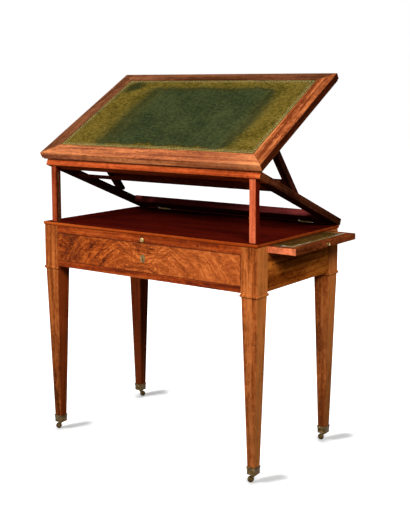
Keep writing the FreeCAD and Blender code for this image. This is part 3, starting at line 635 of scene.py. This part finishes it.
@dataclass(frozen=True)
class Gilding:
    """Gold leaf tooled into leather, mostly worn through."""

    name: str
    gold: Colour
    ground: Colour
    blotches: float = 60.0
    polish: Pair = (0.35, 0.6)
    lustre: Pair = (0.55, 0.0)

    def material(self) -> Material:
        """Mix gold broken by bare leather.

        Returns:
            The material.
        """
        material, graph, shader = blank_material(self.name)
        age = graph.effect(Effects.patina(), Vector=graph.place(), Scale=self.blotches)
        specks = graph.math("MULTIPLY", age["Speck"], 0.6)
        bare = graph.math("MULTIPLY_ADD", age["Blotch"], 0.7, specks, clamp=True)
        graph.feed(shader, {
            "Base Color": graph.mix(bare, self.gold, self.ground),
            "Roughness": graph.span(bare, 0.0, 1.0, *self.polish),
            "Metallic": graph.span(bare, 0.0, 0.8, *self.lustre)})
        return material


Finish = Wood | FlameVeneer | TopBoard | Hide | Metal | Gilding


def grid_quads(rows: int, columns: int, close_rows: bool = False, close_columns: bool = False) -> np.ndarray:
    """Quads between the points of a grid.

    Args:
        rows: Points along the first parameter.
        columns: Points along the second parameter.
        close_rows: Whether the last row joins the first.
        close_columns: Whether the last column joins the first.

    Returns:
        Four point numbers for each quad.
    """
    row, column = np.meshgrid(np.arange(rows - (not close_rows)), np.arange(columns - (not close_columns)),
                              indexing="ij")
    row_on, column_on = (row + 1) % rows, (column + 1) % columns
    return np.stack([row * columns + column, row * columns + column_on,
                     row_on * columns + column_on, row_on * columns + column], -1).reshape(-1, 4)


def surface(name: str, grids: np.ndarray, close_rows: bool = False, close_columns: bool = False,
            sharp: float = 38.0) -> Piece:
    """Object made of one or more equal grids of points.

    Args:
        name: Name of the piece.
        grids: Points as an array of grid, row, column and coordinate.
        close_rows: Whether each grid closes along its rows.
        close_columns: Whether each grid closes along its columns.
        sharp: Angle in degrees above which an edge stays sharp.

    Returns:
        The object, with doubles merged and its faces outwards.
    """
    count, rows, columns, _ = grids.shape
    quads = grid_quads(rows, columns, close_rows, close_columns)
    quads = (quads[None] + (np.arange(count) * rows * columns)[:, None, None]).reshape(-1, 4)
    mesh = bpy.data.meshes.new(name)
    mesh.from_pydata(grids.reshape(-1, 3).tolist(), [], quads.tolist())
    work = bmesh.new()
    work.from_mesh(mesh)
    bmesh.ops.remove_doubles(work, verts=work.verts, dist=1e-6)
    bmesh.ops.recalc_face_normals(work, faces=work.faces)
    work.to_mesh(mesh)
    work.free()
    mesh.shade_smooth()
    mesh.set_sharp_from_angle(angle=math.radians(sharp))
    piece = bpy.data.objects.new(name, mesh)
    bpy.context.scene.collection.objects.link(piece)
    return piece


def tilted(local: np.ndarray, origin: Place, degrees: float) -> np.ndarray:
    """Points turned about X by an angle and then moved: y = s cos a - w sin a, z = s sin a + w cos a.

    Args:
        local: Points as x, s and w in the last axis.
        origin: Where the local origin goes.
        degrees: Angle of the turn.

    Returns:
        The points in the frame of the model.
    """
    a = math.radians(degrees)
    x, s, w = np.moveaxis(local, -1, 0)
    return np.stack([x, s * math.cos(a) - w * math.sin(a), s * math.sin(a) + w * math.cos(a)], -1) + origin


def raised(flat: np.ndarray, height: float) -> np.ndarray:
    """Flat points with one height added as their third coordinate."""
    return np.concatenate([flat, np.full(flat.shape[:-1] + (1,), height)], -1)


def settle(piece: Piece, material: Material, body: str, slot: str,
           *stands_for: str) -> None:
    """Dress a new piece, set it on its body and report it.

    Args:
        piece: The new object.
        material: Its finish.
        body: Body that it moves with.
        slot: Material slot of the record. Not used.
        stands_for: Nodes that it takes the place of.
    """
    piece.data.materials.append(material)
    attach(piece, body)
    if stands_for:
        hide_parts(*stands_for)
    LOG.info("made %s with %d faces on %s", piece.name, len(piece.data.polygons), body)


@dataclass
class Shoes:
    """Moulded square brass shoes under the four legs."""

    spread: Pair = LEG_SPREAD
    corner: float = 0.0011
    steps: int = 5
    profile: tuple[Pair, ...] = (
        (0.0040, 0.0250), (0.0136, 0.0250), (0.0141, 0.0255), (0.0142, 0.0272), (0.0147, 0.0276),
        (0.0149, 0.0285), (0.0147, 0.0294), (0.0143, 0.0298), (0.0145, 0.0360), (0.0148, 0.0418),
        (0.0153, 0.0422), (0.0155, 0.0430), (0.0153, 0.0438), (0.0149, 0.0442), (0.0150, 0.0456),
        (0.0157, 0.0463), (0.0163, 0.0472), (0.01655, 0.0484), (0.0163, 0.0494), (0.0157, 0.0499),
        (0.0136, 0.0499))

    def build(self, material: Material) -> None:
        """Carry the profile round a square with rounded corners, once for each leg.

        A point is a corner centre at (half width - corner) plus the corner radius along its angle.

        Args:
            material: Finish of the shoes.
        """
        half, height = np.array(self.profile).T
        quarters = np.arange(4) * math.pi / 2
        angle = np.linspace(0.0, math.pi / 2, self.steps)[None] + quarters[:, None]
        way = np.stack([np.cos(angle), np.sin(angle)], -1)
        middle = quarters + math.pi / 4
        signs = np.sign(np.stack([np.cos(middle), np.sin(middle)], -1))[:, None]
        flat = signs[None] * (half - self.corner)[:, None, None, None] + way[None] * self.corner
        flat = flat.reshape(len(half), -1, 2)
        ring = np.concatenate([flat, np.broadcast_to(height[:, None, None], flat.shape[:2] + (1,))], -1)
        across, deep = self.spread
        centres = np.array([(sx * across, sy * deep, 0.0) for sx in (-1, 1) for sy in (-1, 1)])
        shoes = surface("moulded_shoes", ring[None] + centres[:, None, None], close_columns=True, sharp=50.0)
        settle(shoes, material, "base", "brass", "brass_sabots")


@dataclass
class Wheel:
    """Small brass caster wheel with a crowned tread, a sunk web and a hub."""

    corner: str
    centre: Place
    yaw: float
    half_profile: tuple[Pair, ...] = (
        (-0.0040, 0.00156), (-0.0040, 0.0030), (-0.0036, 0.0036), (-0.0024, 0.0040), (-0.0022, 0.0062),
        (-0.0034, 0.0070), (-0.0039, 0.0076), (-0.0039, 0.0087), (-0.0030, 0.00935), (-0.0015, 0.00985),
        (-0.0007, 0.00992), (-0.0005, 0.0096))
    turns: int = 40

    def build(self, material: Material) -> None:
        """Turn the profile about the axle: centre + along * axle + radius * (cos t * side + sin t * up).

        The profile is its first half and that half mirrored.

        Args:
            material: Finish of the wheel.
        """
        half = np.array(self.half_profile)
        along, radius = np.concatenate([half, half[::-1] * (-1.0, 1.0)]).T
        a = math.radians(self.yaw)
        axle, side = np.array([math.cos(a), math.sin(a), 0.0]), np.array([-math.sin(a), math.cos(a), 0.0])
        turn = np.linspace(0.0, 2 * math.pi, self.turns, endpoint=False)
        spoke = np.cos(turn)[:, None] * side + np.sin(turn)[:, None] * np.array(UP)
        points = along[:, None, None] * axle + radius[:, None, None] * spoke[None] + self.centre
        wheel = surface(f"turned_wheel_{self.corner}", points[None], True, True)
        settle(wheel, material, f"wheel_{self.corner}", "brass", f"caster_wheel_{self.corner}")


@dataclass
class Screws:
    """Slotted screw heads in the leaves of one pair of hinges."""

    name: str
    body: str
    origin: Place
    tilt: float
    face: float
    upward: int
    rows: Pair
    spread: float = 0.3
    pitch: float = 0.016
    radius: float = 0.0021
    rings: int = 7
    turns: int = 28
    dome: float = 0.00022
    rim: float = 2e-5
    slot_half: float = 0.0004
    slot_floor: float = 3e-5
    last_skew: float = 2.5

    def build(self, material: Material) -> None:
        """Shape each head as a low dome, height = dome * (1 - (r/R)^2), cut down to the face in its slot.

        Args:
            material: Finish of the screws.
        """
        radius, turn = np.meshgrid(np.linspace(0.0, self.radius, self.rings),
                                   np.linspace(0.0, 2 * math.pi, self.turns, endpoint=False), indexing="ij")
        x, y = radius * np.cos(turn), radius * np.sin(turn)
        height = self.dome * (1 - (radius / self.radius) ** 2) + self.rim
        centres = np.array([(side * self.spread + step * self.pitch, self.rows[step % 2])
                            for side in (-1, 1) for step in (-1, 0, 1)])
        skew = np.linspace(0.0, self.last_skew, len(centres))
        across = np.abs(x[None] * np.sin(skew)[:, None, None] + y[None] * np.cos(skew)[:, None, None])
        drop = np.where(across < self.slot_half, self.slot_floor, height[None])
        local = np.stack([x[None] + centres[:, 0, None, None], y[None] + centres[:, 1, None, None],
                          self.face + self.upward * drop], -1)
        heads = surface(self.name, tilted(local, self.origin, self.tilt), close_columns=True, sharp=25.0)
        settle(heads, material, self.body, "brass")


@dataclass
class LeatherTop:
    """Sheet of leather let into a board, with gilt tooling round its edge."""

    name: str
    body: str
    node: str
    origin: Place
    tilt: float
    x: Pair
    s: Pair
    top: float
    lines: tuple[Pair, ...] = ((0.0050, 0.0013), (0.0135, 0.0006))
    stamp_at: float = 0.0093
    stamp_pitch: float = 0.0115
    stamp_half: float = 0.0016
    gilt_lift: float = 2e-5
    cells: tuple[int, int] = (96, 56)
    thick: float = 0.0011
    swell: float = 0.00012
    sink: float = 1.2
    edge_drop: float = 0.0003
    edge_run: float = 0.0012

    def build(self, hide: Material, gold: Material) -> None:
        """Lay the sheet and its tooling.

        Args:
            hide: Finish of the leather.
            gold: Finish of the gilt lines.
        """
        settle(self.sheet(), hide, self.body, "green_leather", self.node)
        settle(self.tooling(), gold, self.body, "green_leather")
        settle(self.stamps(), gold, self.body, "green_leather")

    def sheet(self) -> Piece:
        """Slightly uneven sheet: height = swell * (sin * cos of long waves - sink), turned down at the edge.

        Returns:
            The sheet, thickened downwards.
        """
        x, s = np.meshgrid(np.linspace(*self.x, self.cells[0]), np.linspace(*self.s, self.cells[1]),
                           indexing="ij")
        edge = np.minimum(np.minimum(x - self.x[0], self.x[1] - x), np.minimum(s - self.s[0], self.s[1] - s))
        waves = np.sin(21 * x + 13 * s) * np.cos(17 * s - 8 * x)
        lift = self.swell * (waves - self.sink) - self.edge_drop * np.exp(-edge / self.edge_run)
        points = tilted(np.stack([x, s, self.top + lift], -1), self.origin, self.tilt)
        sheet = surface(f"{self.name}_sheet", points[None], sharp=60.0)
        thick = sheet.modifiers.new("thickness", "SOLIDIFY")
        thick.thickness = self.thick - 2 * self.sink * self.swell
        thick.offset = -1.0
        return sheet

    def tooling(self) -> Piece:
        """Flat bands between two inset oblongs, one for each line: middle + sign * (half - inset).

        Returns:
            The gilt lines.
        """
        middle = np.array([(self.x[0] + self.x[1]) / 2, (self.s[0] + self.s[1]) / 2])
        half = np.array([(self.x[1] - self.x[0]) / 2, (self.s[1] - self.s[0]) / 2])
        signs = np.array([(-1, -1), (1, -1), (1, 1), (-1, 1)])
        inset = np.array([[at, at + wide] for at, wide in self.lines])
        local = raised(middle + signs * (half - inset[..., None])[:, :, None], self.top + self.gilt_lift)
        return surface(f"{self.name}_gilt_lines", tilted(local, self.origin, self.tilt), close_columns=True)

    def stamps(self) -> Piece:
        """Row of small lozenges between the lines, evenly spaced along each side.

        Returns:
            The stamps.
        """
        low = np.array([self.x[0], self.s[0]]) + self.stamp_at
        high = np.array([self.x[1], self.s[1]]) - self.stamp_at
        count = np.round((high - low) / self.stamp_pitch).astype(int)
        across = np.linspace(low[0], high[0], count[0])
        along = np.linspace(low[1], high[1], count[1])[1:-1]
        rows = [np.stack(np.broadcast_arrays(across, edge), -1) for edge in (low[1], high[1])]
        rows += [np.stack(np.broadcast_arrays(edge, along), -1) for edge in (low[0], high[0])]
        spots = np.concatenate(rows)
        half = self.stamp_half
        lozenge = np.array([[(-half, 0.0), (0.0, -half)], [(0.0, half), (half, 0.0)]])
        local = raised(spots[:, None, None] + lozenge, self.top + self.gilt_lift)
        return surface(f"{self.name}_gilt_stamps", tilted(local, self.origin, self.tilt))


@dataclass
class Finishes:
    """Every finish on the table, made once."""

    red: Tones = ((0.085, 0.009, 0.0013), (0.265, 0.036, 0.0042), (0.425, 0.083, 0.013))
    warm: Tones = ((0.1, 0.021, 0.004), (0.315, 0.071, 0.0135), (0.53, 0.152, 0.035))
    tan: Tones = ((0.075, 0.013, 0.001), (0.275, 0.06, 0.0065), (0.52, 0.152, 0.02))
    bright: Tones = ((0.34, 0.052, 0.018), (0.54, 0.102, 0.038), (0.68, 0.16, 0.066))
    russet: Tones = ((0.19, 0.025, 0.0045), (0.45, 0.075, 0.017), (0.6, 0.127, 0.032))
    # Darker copy of the posts' tones for the left post: painted shade.
    left_post_painted_shade: Tones = ((0.1, 0.012, 0.003), (0.25, 0.038, 0.011), (0.36, 0.066, 0.02))
    board: Tones = ((0.14, 0.027, 0.007), (0.42, 0.118, 0.034), (0.67, 0.232, 0.077))
    # Darker copy of the board tones for the board's back and left rails and its underside: painted shade.
    shaded: Tones = ((0.055, 0.016, 0.005), (0.14, 0.045, 0.018), (0.25, 0.09, 0.036))
    # Dark stain with painted shade, for the frame's side rails.
    brown: Tones = ((0.013, 0.003, 0.0012), (0.05, 0.0115, 0.0047), (0.115, 0.029, 0.0105))
    umber: Tones = ((0.06, 0.012, 0.006), (0.17, 0.036, 0.016), (0.28, 0.065, 0.026))
    # Near black, dark stain with painted shade, for the struts.
    dusk: Tones = ((0.006, 0.0015, 0.001), (0.022, 0.0045, 0.003), (0.05, 0.012, 0.006))
    slide: Tones = ((0.06, 0.012, 0.003), (0.175, 0.037, 0.009), (0.3, 0.072, 0.017))
    flame: Tones = ((0.055, 0.009, 0.0016), (0.275, 0.05, 0.007), (0.565, 0.145, 0.027))
    oak: Tones = ((0.16, 0.085, 0.035), (0.34, 0.2, 0.09), (0.46, 0.3, 0.15))
    oak_edge: Colour = (0.5, 0.36, 0.2)
    # Deep red of the top's upper face: the polish's own red, darkened with painted shade and painted
    # reflection of the board's dark underside.
    deep: tuple[Colour, Colour] = ((0.03, 0.0018, 0.001), (0.074, 0.005, 0.002))
    green: tuple[Colour, Colour] = ((0.0145, 0.0215, 0.008), (0.045, 0.054, 0.0185))
    olive: tuple[Colour, Colour] = ((0.049, 0.037, 0.004), (0.156, 0.106, 0.0175))
    tawny: tuple[Colour, Colour] = ((0.05, 0.021, 0.0045), (0.12, 0.053, 0.0115))
    tawny_edge: tuple[Colour, Colour] = ((0.055, 0.028, 0.004), (0.15, 0.083, 0.015))
    made: dict[str, Material] = field(default_factory=dict)

    def woods(self) -> list[Wood]:
        """List the woods by tone and by the run of their fibres, some with a painted tone on the faces along
        one direction.

        Returns:
            The woods, that of the front rails first.
        """
        front, inner, under = (0.0, -1.0, 0.0), (1.0, -1.0, 0.0), (0.0, -1.4, -0.5)
        plain = (("rail", self.red, Grain.ACROSS),
                 ("board_bar", self.board, Grain.BOARD_ACROSS))
        dull = (("board_back", self.shaded, Grain.BOARD_ACROSS),
                ("board_left", self.shaded, Grain.BOARD_SLOPE),
                ("side", self.tan, Grain.DEEP),
                ("frame_side", self.brown, Grain.FRAME_SLOPE),
                ("frame_bar", self.umber, Grain.FRAME_ACROSS),
                ("board_under", self.shaded, Grain.BOARD_ACROSS),
                ("strut", self.dusk, Grain.STRUT_SLOPE))
        # Painted light on the faces along a direction: painted shade on the right faces of the front left
        # stile, the fascia, the posts and the board's right rail, and on the front and right faces of the rear
        # left stile; a painted lighter right face on the right stiles; a painted highlight on the slides'
        # fronts; painted bounce light from the red top under the rear rail.
        painted_faces = (("stile_left", self.warm, Grain.UPRIGHT, RIGHT, (0.22, 0.036, 0.0063)),
                   ("stile_right", self.warm, Grain.UPRIGHT, RIGHT, (0.43, 0.13, 0.028)),
                   ("stile_back", self.warm, Grain.UPRIGHT, inner, (0.175, 0.03, 0.0068)),
                   ("fascia", self.russet, Grain.FRAME_ACROSS, RIGHT, (0.1, 0.025, 0.007)),
                   ("post_left", self.left_post_painted_shade, Grain.UPRIGHT, RIGHT, (0.085, 0.005, 0.001)),
                   ("post_right", self.bright, Grain.UPRIGHT, RIGHT, (0.085, 0.005, 0.001)),
                   ("board_right", self.board, Grain.BOARD_SLOPE, RIGHT, (0.06, 0.011, 0.003)),
                   ("slide", self.slide, Grain.DEEP, front, (0.8, 0.2, 0.078)),
                   ("frame_rear", self.umber, Grain.FRAME_ACROSS, under, (0.23, 0.037, 0.034)))
        inside = (("across", self.oak, Grain.ACROSS), ("deep", self.oak, Grain.DEEP))
        return ([Wood("mahogany_" + name, tones, grain) for name, tones, grain in plain]
                + [Wood("mahogany_" + name, tones, grain, coat=0.0, shine=0.0) for name, tones, grain in dull]
                + [Wood("mahogany_" + name, tones, grain, coat=0.0, shine=0.0, painted_face_way=way, shade=shade)
                   for name, tones, grain, way, shade in painted_faces]
                + [Wood("oak_" + name, tones, grain, edge=self.oak_edge, roughness=0.6, coat=0.0)
                   for name, tones, grain in inside])

    def leathers(self) -> list[Hide]:
        """List the leathers of the board and of both slides.

        Returns:
            The leathers.
        """
        (left, right), (front, back) = SHEET_X, SHEET_S
        middle = np.array([(left + right) / 2, (front + back) / 2, SHEET_TOP])
        hides = [Hide("board_hide", self.green, self.olive, (-BOARD_TILT, 0.0, 0.0),
                      tuple(tilted(middle, BOARD_HINGE, BOARD_TILT).tolist()),
                      ((right - left) / 2, (back - front) / 2), (0.215, 0.155, 0.03, 0.075),
                      stain=(-0.335, 0.165, 0.0))]
        for side in ("left", "right"):
            low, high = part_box("slide_leather_" + side)
            size = (high - low) / 2
            hides.append(Hide("slide_hide_" + side, self.tawny, self.tawny_edge, (0.0, 0.0, 0.0),
                              tuple((low + high) / 2), (size.x, size.y), (0.04,) * 4))
        return hides

    def build(self) -> dict[str, Material]:
        """Make every finish.

        Returns:
            The materials by name.
        """
        woods = self.woods()
        low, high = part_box("drawer_front")
        size = (high - low) / 2
        others: list[Finish] = [
            FlameVeneer("flame_veneer", self.flame, tuple((low + high) / 2), (size.x, size.z)),
            TopBoard("top_polish", self.deep, woods[0]),
            Metal("aged_brass", (0.155, 0.093, 0.032), (0.02, 0.012, 0.0045), 0.35),
            Metal("plate_brass", (0.34, 0.225, 0.085), (0.05, 0.03, 0.012), 0.2, 0.3),
            Metal("handled_brass", (0.4, 0.27, 0.1), (0.06, 0.036, 0.013), 0.15, 0.24),
            Metal("forged_iron", (0.2, 0.19, 0.18), (0.035, 0.03, 0.027), 0.45, 0.5),
            Gilding("worn_gilding", (0.43, 0.34, 0.13), (0.15, 0.115, 0.03)),
            Gilding("dull_gilding", (0.3, 0.205, 0.065), (0.12, 0.075, 0.017))]
        for finish in (*woods, *others, *self.leathers()):
            self.made[finish.name] = finish.material()
            LOG.info("mixed %s", finish.name)
        return self.made


class Table:
    """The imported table, dressed piece by piece."""

    DRESS: dict[str, tuple[str, ...]] = {
        "mahogany_stile_left": ("leg_front_left",),
        "mahogany_stile_back": ("leg_rear_left",),
        "mahogany_stile_right": ("leg_front_right", "leg_rear_right"),
        "mahogany_rail": ("front_top_rail", "front_bottom_rail", "back_apron"),
        "mahogany_side": ("side_apron_left", "side_apron_right"),
        "mahogany_post_left": ("post_left",),
        "mahogany_post_right": ("post_right",),
        "mahogany_fascia": ("frame_front_rail",),
        "mahogany_frame_rear": ("frame_rear_rail",),
        "mahogany_frame_bar": ("frame_cross_rail", "easel_cross_bar"),
        "mahogany_frame_side": ("frame_side_rail_left", "frame_side_rail_right"),
        "mahogany_board_bar": ("board_front_rail",),
        "mahogany_board_back": ("board_back_rail",),
        "mahogany_board_left": ("board_side_rail_left",),
        "mahogany_board_right": ("board_side_rail_right",),
        "mahogany_board_under": ("board_panel", "strut_hinge_blocks"),
        "mahogany_strut": ("easel_strut_left", "easel_strut_right"),
        "mahogany_slide": ("slide_board_left", "slide_board_right"),
        "top_polish": ("desk_top",),
        "flame_veneer": ("drawer_front",),
        "oak_deep": ("drawer_runners", "slide_bearers", "drawer_side_left", "drawer_side_right"),
        "oak_across": ("drawer_bottom", "drawer_back"),
        "aged_brass": ("board_hinge_frame_leaves", "board_hinge_board_leaves", "post_rack_left",
                       "post_rack_right", "caster_fork_front_left", "caster_fork_front_right",
                       "caster_fork_rear_left", "caster_fork_rear_right"),
        "plate_brass": ("keyhole_escutcheon", "rear_hinge_base_leaves", "rear_hinge_frame_leaves"),
        "handled_brass": ("slide_knob_left", "slide_knob_right", "release_button"),
        "forged_iron": ("release_bar_left", "release_bar_right", "drawer_lock"),
    }
    YAWS: dict[str, float] = {
        "front_left": -62.0, "front_right": -48.0, "rear_left": 118.0, "rear_right": -66.0}

    def __init__(self, nodes: dict[str, Piece], made: dict[str, Material]) -> None:
        """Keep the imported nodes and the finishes."""
        self.nodes = nodes
        self.made = made

    def dress(self) -> None:
        """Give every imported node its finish."""
        for finish, names in self.DRESS.items():
            for name in names:
                self.nodes[name].data.materials.clear()
                self.nodes[name].data.materials.append(self.made[finish])
            LOG.info("%s on %s", finish, ", ".join(names))

    def casters(self) -> None:
        """Make the shoes and the wheels."""
        brass = self.made["aged_brass"]
        Shoes().build(brass)
        for corner, yaw in self.YAWS.items():
            low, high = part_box("caster_wheel_" + corner)
            Wheel(corner, tuple((low + high) / 2), yaw).build(brass)

    def hinge_screws(self) -> None:
        """Make the screws of the four kinds of hinge leaf."""
        behind, ahead = (0.0075, 0.0125), (-0.0075, -0.0125)
        for screws in (
                Screws("rear_base_screws", "base", (0.0, REAR_HINGE[1], BASE_TOP), 0.0, 0.0, 1, ahead),
                Screws("rear_frame_screws", "rising_frame", REAR_HINGE, -FRAME_TILT, LEAF_GAP, -1, ahead),
                Screws("front_frame_screws", "rising_frame", BOARD_HINGE, -FRAME_TILT, -LEAF_GAP, 1, behind),
                Screws("board_screws", "writing_board", BOARD_HINGE, BOARD_TILT, LEAF_GAP, -1, behind)):
            screws.build(self.made["aged_brass"])

    def leathers(self) -> None:
        """Lay the leather of the board and of both slides."""
        board = LeatherTop("board_leather", "writing_board", "board_leather", BOARD_HINGE, BOARD_TILT,
                           SHEET_X, SHEET_S, SHEET_TOP)
        board.build(self.made["board_hide"], self.made["worn_gilding"])
        for side in ("left", "right"):
            name = "slide_leather_" + side
            low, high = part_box(name)
            top = LeatherTop(name, "slide_" + side, name, (0.0, 0.0, 0.0), 0.0,
                             (low.x, high.x), (low.y, high.y), high.z)
            top.build(self.made["slide_hide_" + side], self.made["dull_gilding"])


@dataclass
class Studio:
    """Pale floor, soft lamps and the camera."""

    eye: Place = (1.895, -2.503, 1.171)
    target: Place = (0.13703, 0.0, 0.80029)
    lens: float = 67.33
    sensor: float = 36.0
    shift: Pair = (-0.0355, -0.1076)
    far: float = 60.0
    lamps: tuple[tuple[str, Place, float, float], ...] = (
        ("key", (-1.2, -2.6, 2.2), 0.5, 78.0),
        ("side", (2.5, -2.0, 2.4), 1.0, 120.0),
        ("back", (-1.2, 2.7, 2.2), 1.6, 62.0),
        ("sky", (-0.4, -0.6, 3.6), 2.2, 25.0))
    lamp_target: Place = (0.0, 0.0, 0.65)
    ambient: float = 0.12
    paper: Colour = (0.68, 0.68, 0.68)
    quiet: Colour = (0.12, 0.11, 0.1)
    streak: Place = (0.5, 0.866, 0.0)
    streak_length: float = 0.085
    shadow: Pair = (0.004, 0.06)
    glow: float = 0.75
    haze: Pair = (0.35, 1.6)
    floor_half: float = 14.0
    floor_drop: float = 0.0002

    def build(self) -> None:
        """Set up the floor, the surroundings, the lamps and the camera."""
        self.floor()
        self.surroundings()
        for name, place, size, power in self.lamps:
            self.lamp(name, place, size, power)
        self.camera()

    @staticmethod
    def seen(graph: Graph) -> Socket:
        """One where a camera, glossy or transmitted ray looks, else nought.

        Args:
            graph: Graph of the floor or of the surroundings.

        Returns:
            The mask.
        """
        path = graph.node("ShaderNodeLightPath").outputs
        either = graph.math("MAXIMUM", path["Is Camera Ray"], path["Is Glossy Ray"])
        return graph.math("MAXIMUM", either, path["Is Transmission Ray"])

    def floor_material(self) -> Material:
        """Mix paper that keeps the shadow at the feet, glows to white away from them and is clear from below.

        The glow grows with the distance from a short line that runs from the nearest foot along the streak.
        For light that the floor throws back, the paper is quiet.

        Returns:
            The material.
        """
        material, graph, shader = blank_material("pale_floor")
        graph.tree.nodes.remove(shader)
        place = graph.place()
        foot = graph.vector("MULTIPLY", graph.vector("SIGN", place, (0.0, 0.0, 0.0)), (*LEG_SPREAD, 0.0))
        step = graph.vector("SUBTRACT", place, foot)
        run = graph.math("MAXIMUM", graph.measure("DOT_PRODUCT", step, self.streak), 0.0)
        run = graph.math("MINIMUM", run, self.streak_length)
        line = graph.vector("MULTIPLY", graph.joined(run, run, run), self.streak)
        away = graph.measure("DISTANCE", step, line)
        around = graph.span(away, *self.shadow, 0.0, self.glow)
        strength = graph.span(away, *self.haze, around, 1.0)
        glow = graph.feed(graph.node("ShaderNodeEmission"), {"Strength": strength})
        paper = graph.node("ShaderNodeBsdfDiffuse", self.paper)
        quiet = graph.node("ShaderNodeBsdfDiffuse", self.quiet)
        lit = graph.node("ShaderNodeAddShader", paper.outputs[0], glow.outputs[0])
        above = graph.node("ShaderNodeMixShader", self.seen(graph), quiet.outputs[0], lit.outputs[0])
        clear = graph.node("ShaderNodeBsdfTransparent")
        below = graph.node("ShaderNodeNewGeometry").outputs["Backfacing"]
        sided = graph.node("ShaderNodeMixShader", below, above.outputs[0], clear.outputs[0])
        graph.put(graph.tree.nodes["Material Output"].inputs[0], sided.outputs[0])
        return material

    def floor(self) -> None:
        """Lay a wide pale floor that faces up."""
        line = np.linspace(-self.floor_half, self.floor_half, 3)
        flat = np.stack(np.meshgrid(line, line, indexing="ij"), -1)
        plane = surface("floor", raised(flat, -self.floor_drop)[None])
        if plane.data.polygons[0].normal.z < 0.0:
            plane.data.flip_normals()
        plane.data.materials.append(self.floor_material())

    def surroundings(self) -> None:
        """White where they are seen, dim where they light."""
        world = bpy.data.worlds.new("pale_room")
        world.use_nodes = True
        bpy.context.scene.world = world
        graph = Graph(world.node_tree)
        strength = graph.span(self.seen(graph), 0.0, 1.0, self.ambient, 1.0)
        graph.feed(world.node_tree.nodes["Background"], {"Color": (1.0, 1.0, 1.0), "Strength": strength})

    @staticmethod
    def stand(name: str, data: bpy.types.ID, place: Place, target: Place) -> Piece:
        """Stand a lamp or camera at a place, looking at a target.

        Args:
            name: Name of the object.
            data: The lamp or camera.
            place: Where it stands.
            target: Where it looks.

        Returns:
            The object.
        """
        made = bpy.data.objects.new(name, data)
        bpy.context.scene.collection.objects.link(made)
        made.location = place
        made.rotation_euler = (Vector(target) - Vector(place)).to_track_quat("-Z", "Y").to_euler()
        return made

    def lamp(self, name: str, place: Place, size: float, power: float) -> None:
        """Hang one square soft lamp that looks at the table.

        Args:
            name: Name of the lamp.
            place: Where it hangs.
            size: Side of its square.
            power: Power in watts.
        """
        light = bpy.data.lights.new(name, "AREA")
        light.size, light.energy = size, power
        self.stand(name, light, place, self.lamp_target)

    def camera(self) -> None:
        """Stand the camera at the photograph's angle."""
        data = bpy.data.cameras.new("view")
        data.lens, data.sensor_width = self.lens, self.sensor
        data.shift_x, data.shift_y = self.shift
        data.clip_end = self.far
        bpy.context.scene.camera = self.stand("view", data, self.eye, self.target)


def main() -> None:
    """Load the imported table, dress it, add its fine pieces and set the stage."""
    logging.basicConfig(level=logging.INFO, format="%(name)s: %(message)s")
    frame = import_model()
    made = Finishes().build()
    table = Table(frame["nodes"], made)
    table.dress()
    table.casters()
    table.hinge_screws()
    table.leathers()
    Studio().build()
    bpy.context.scene.view_settings.view_transform = "Standard"


if __name__ == "__main__":
    main()
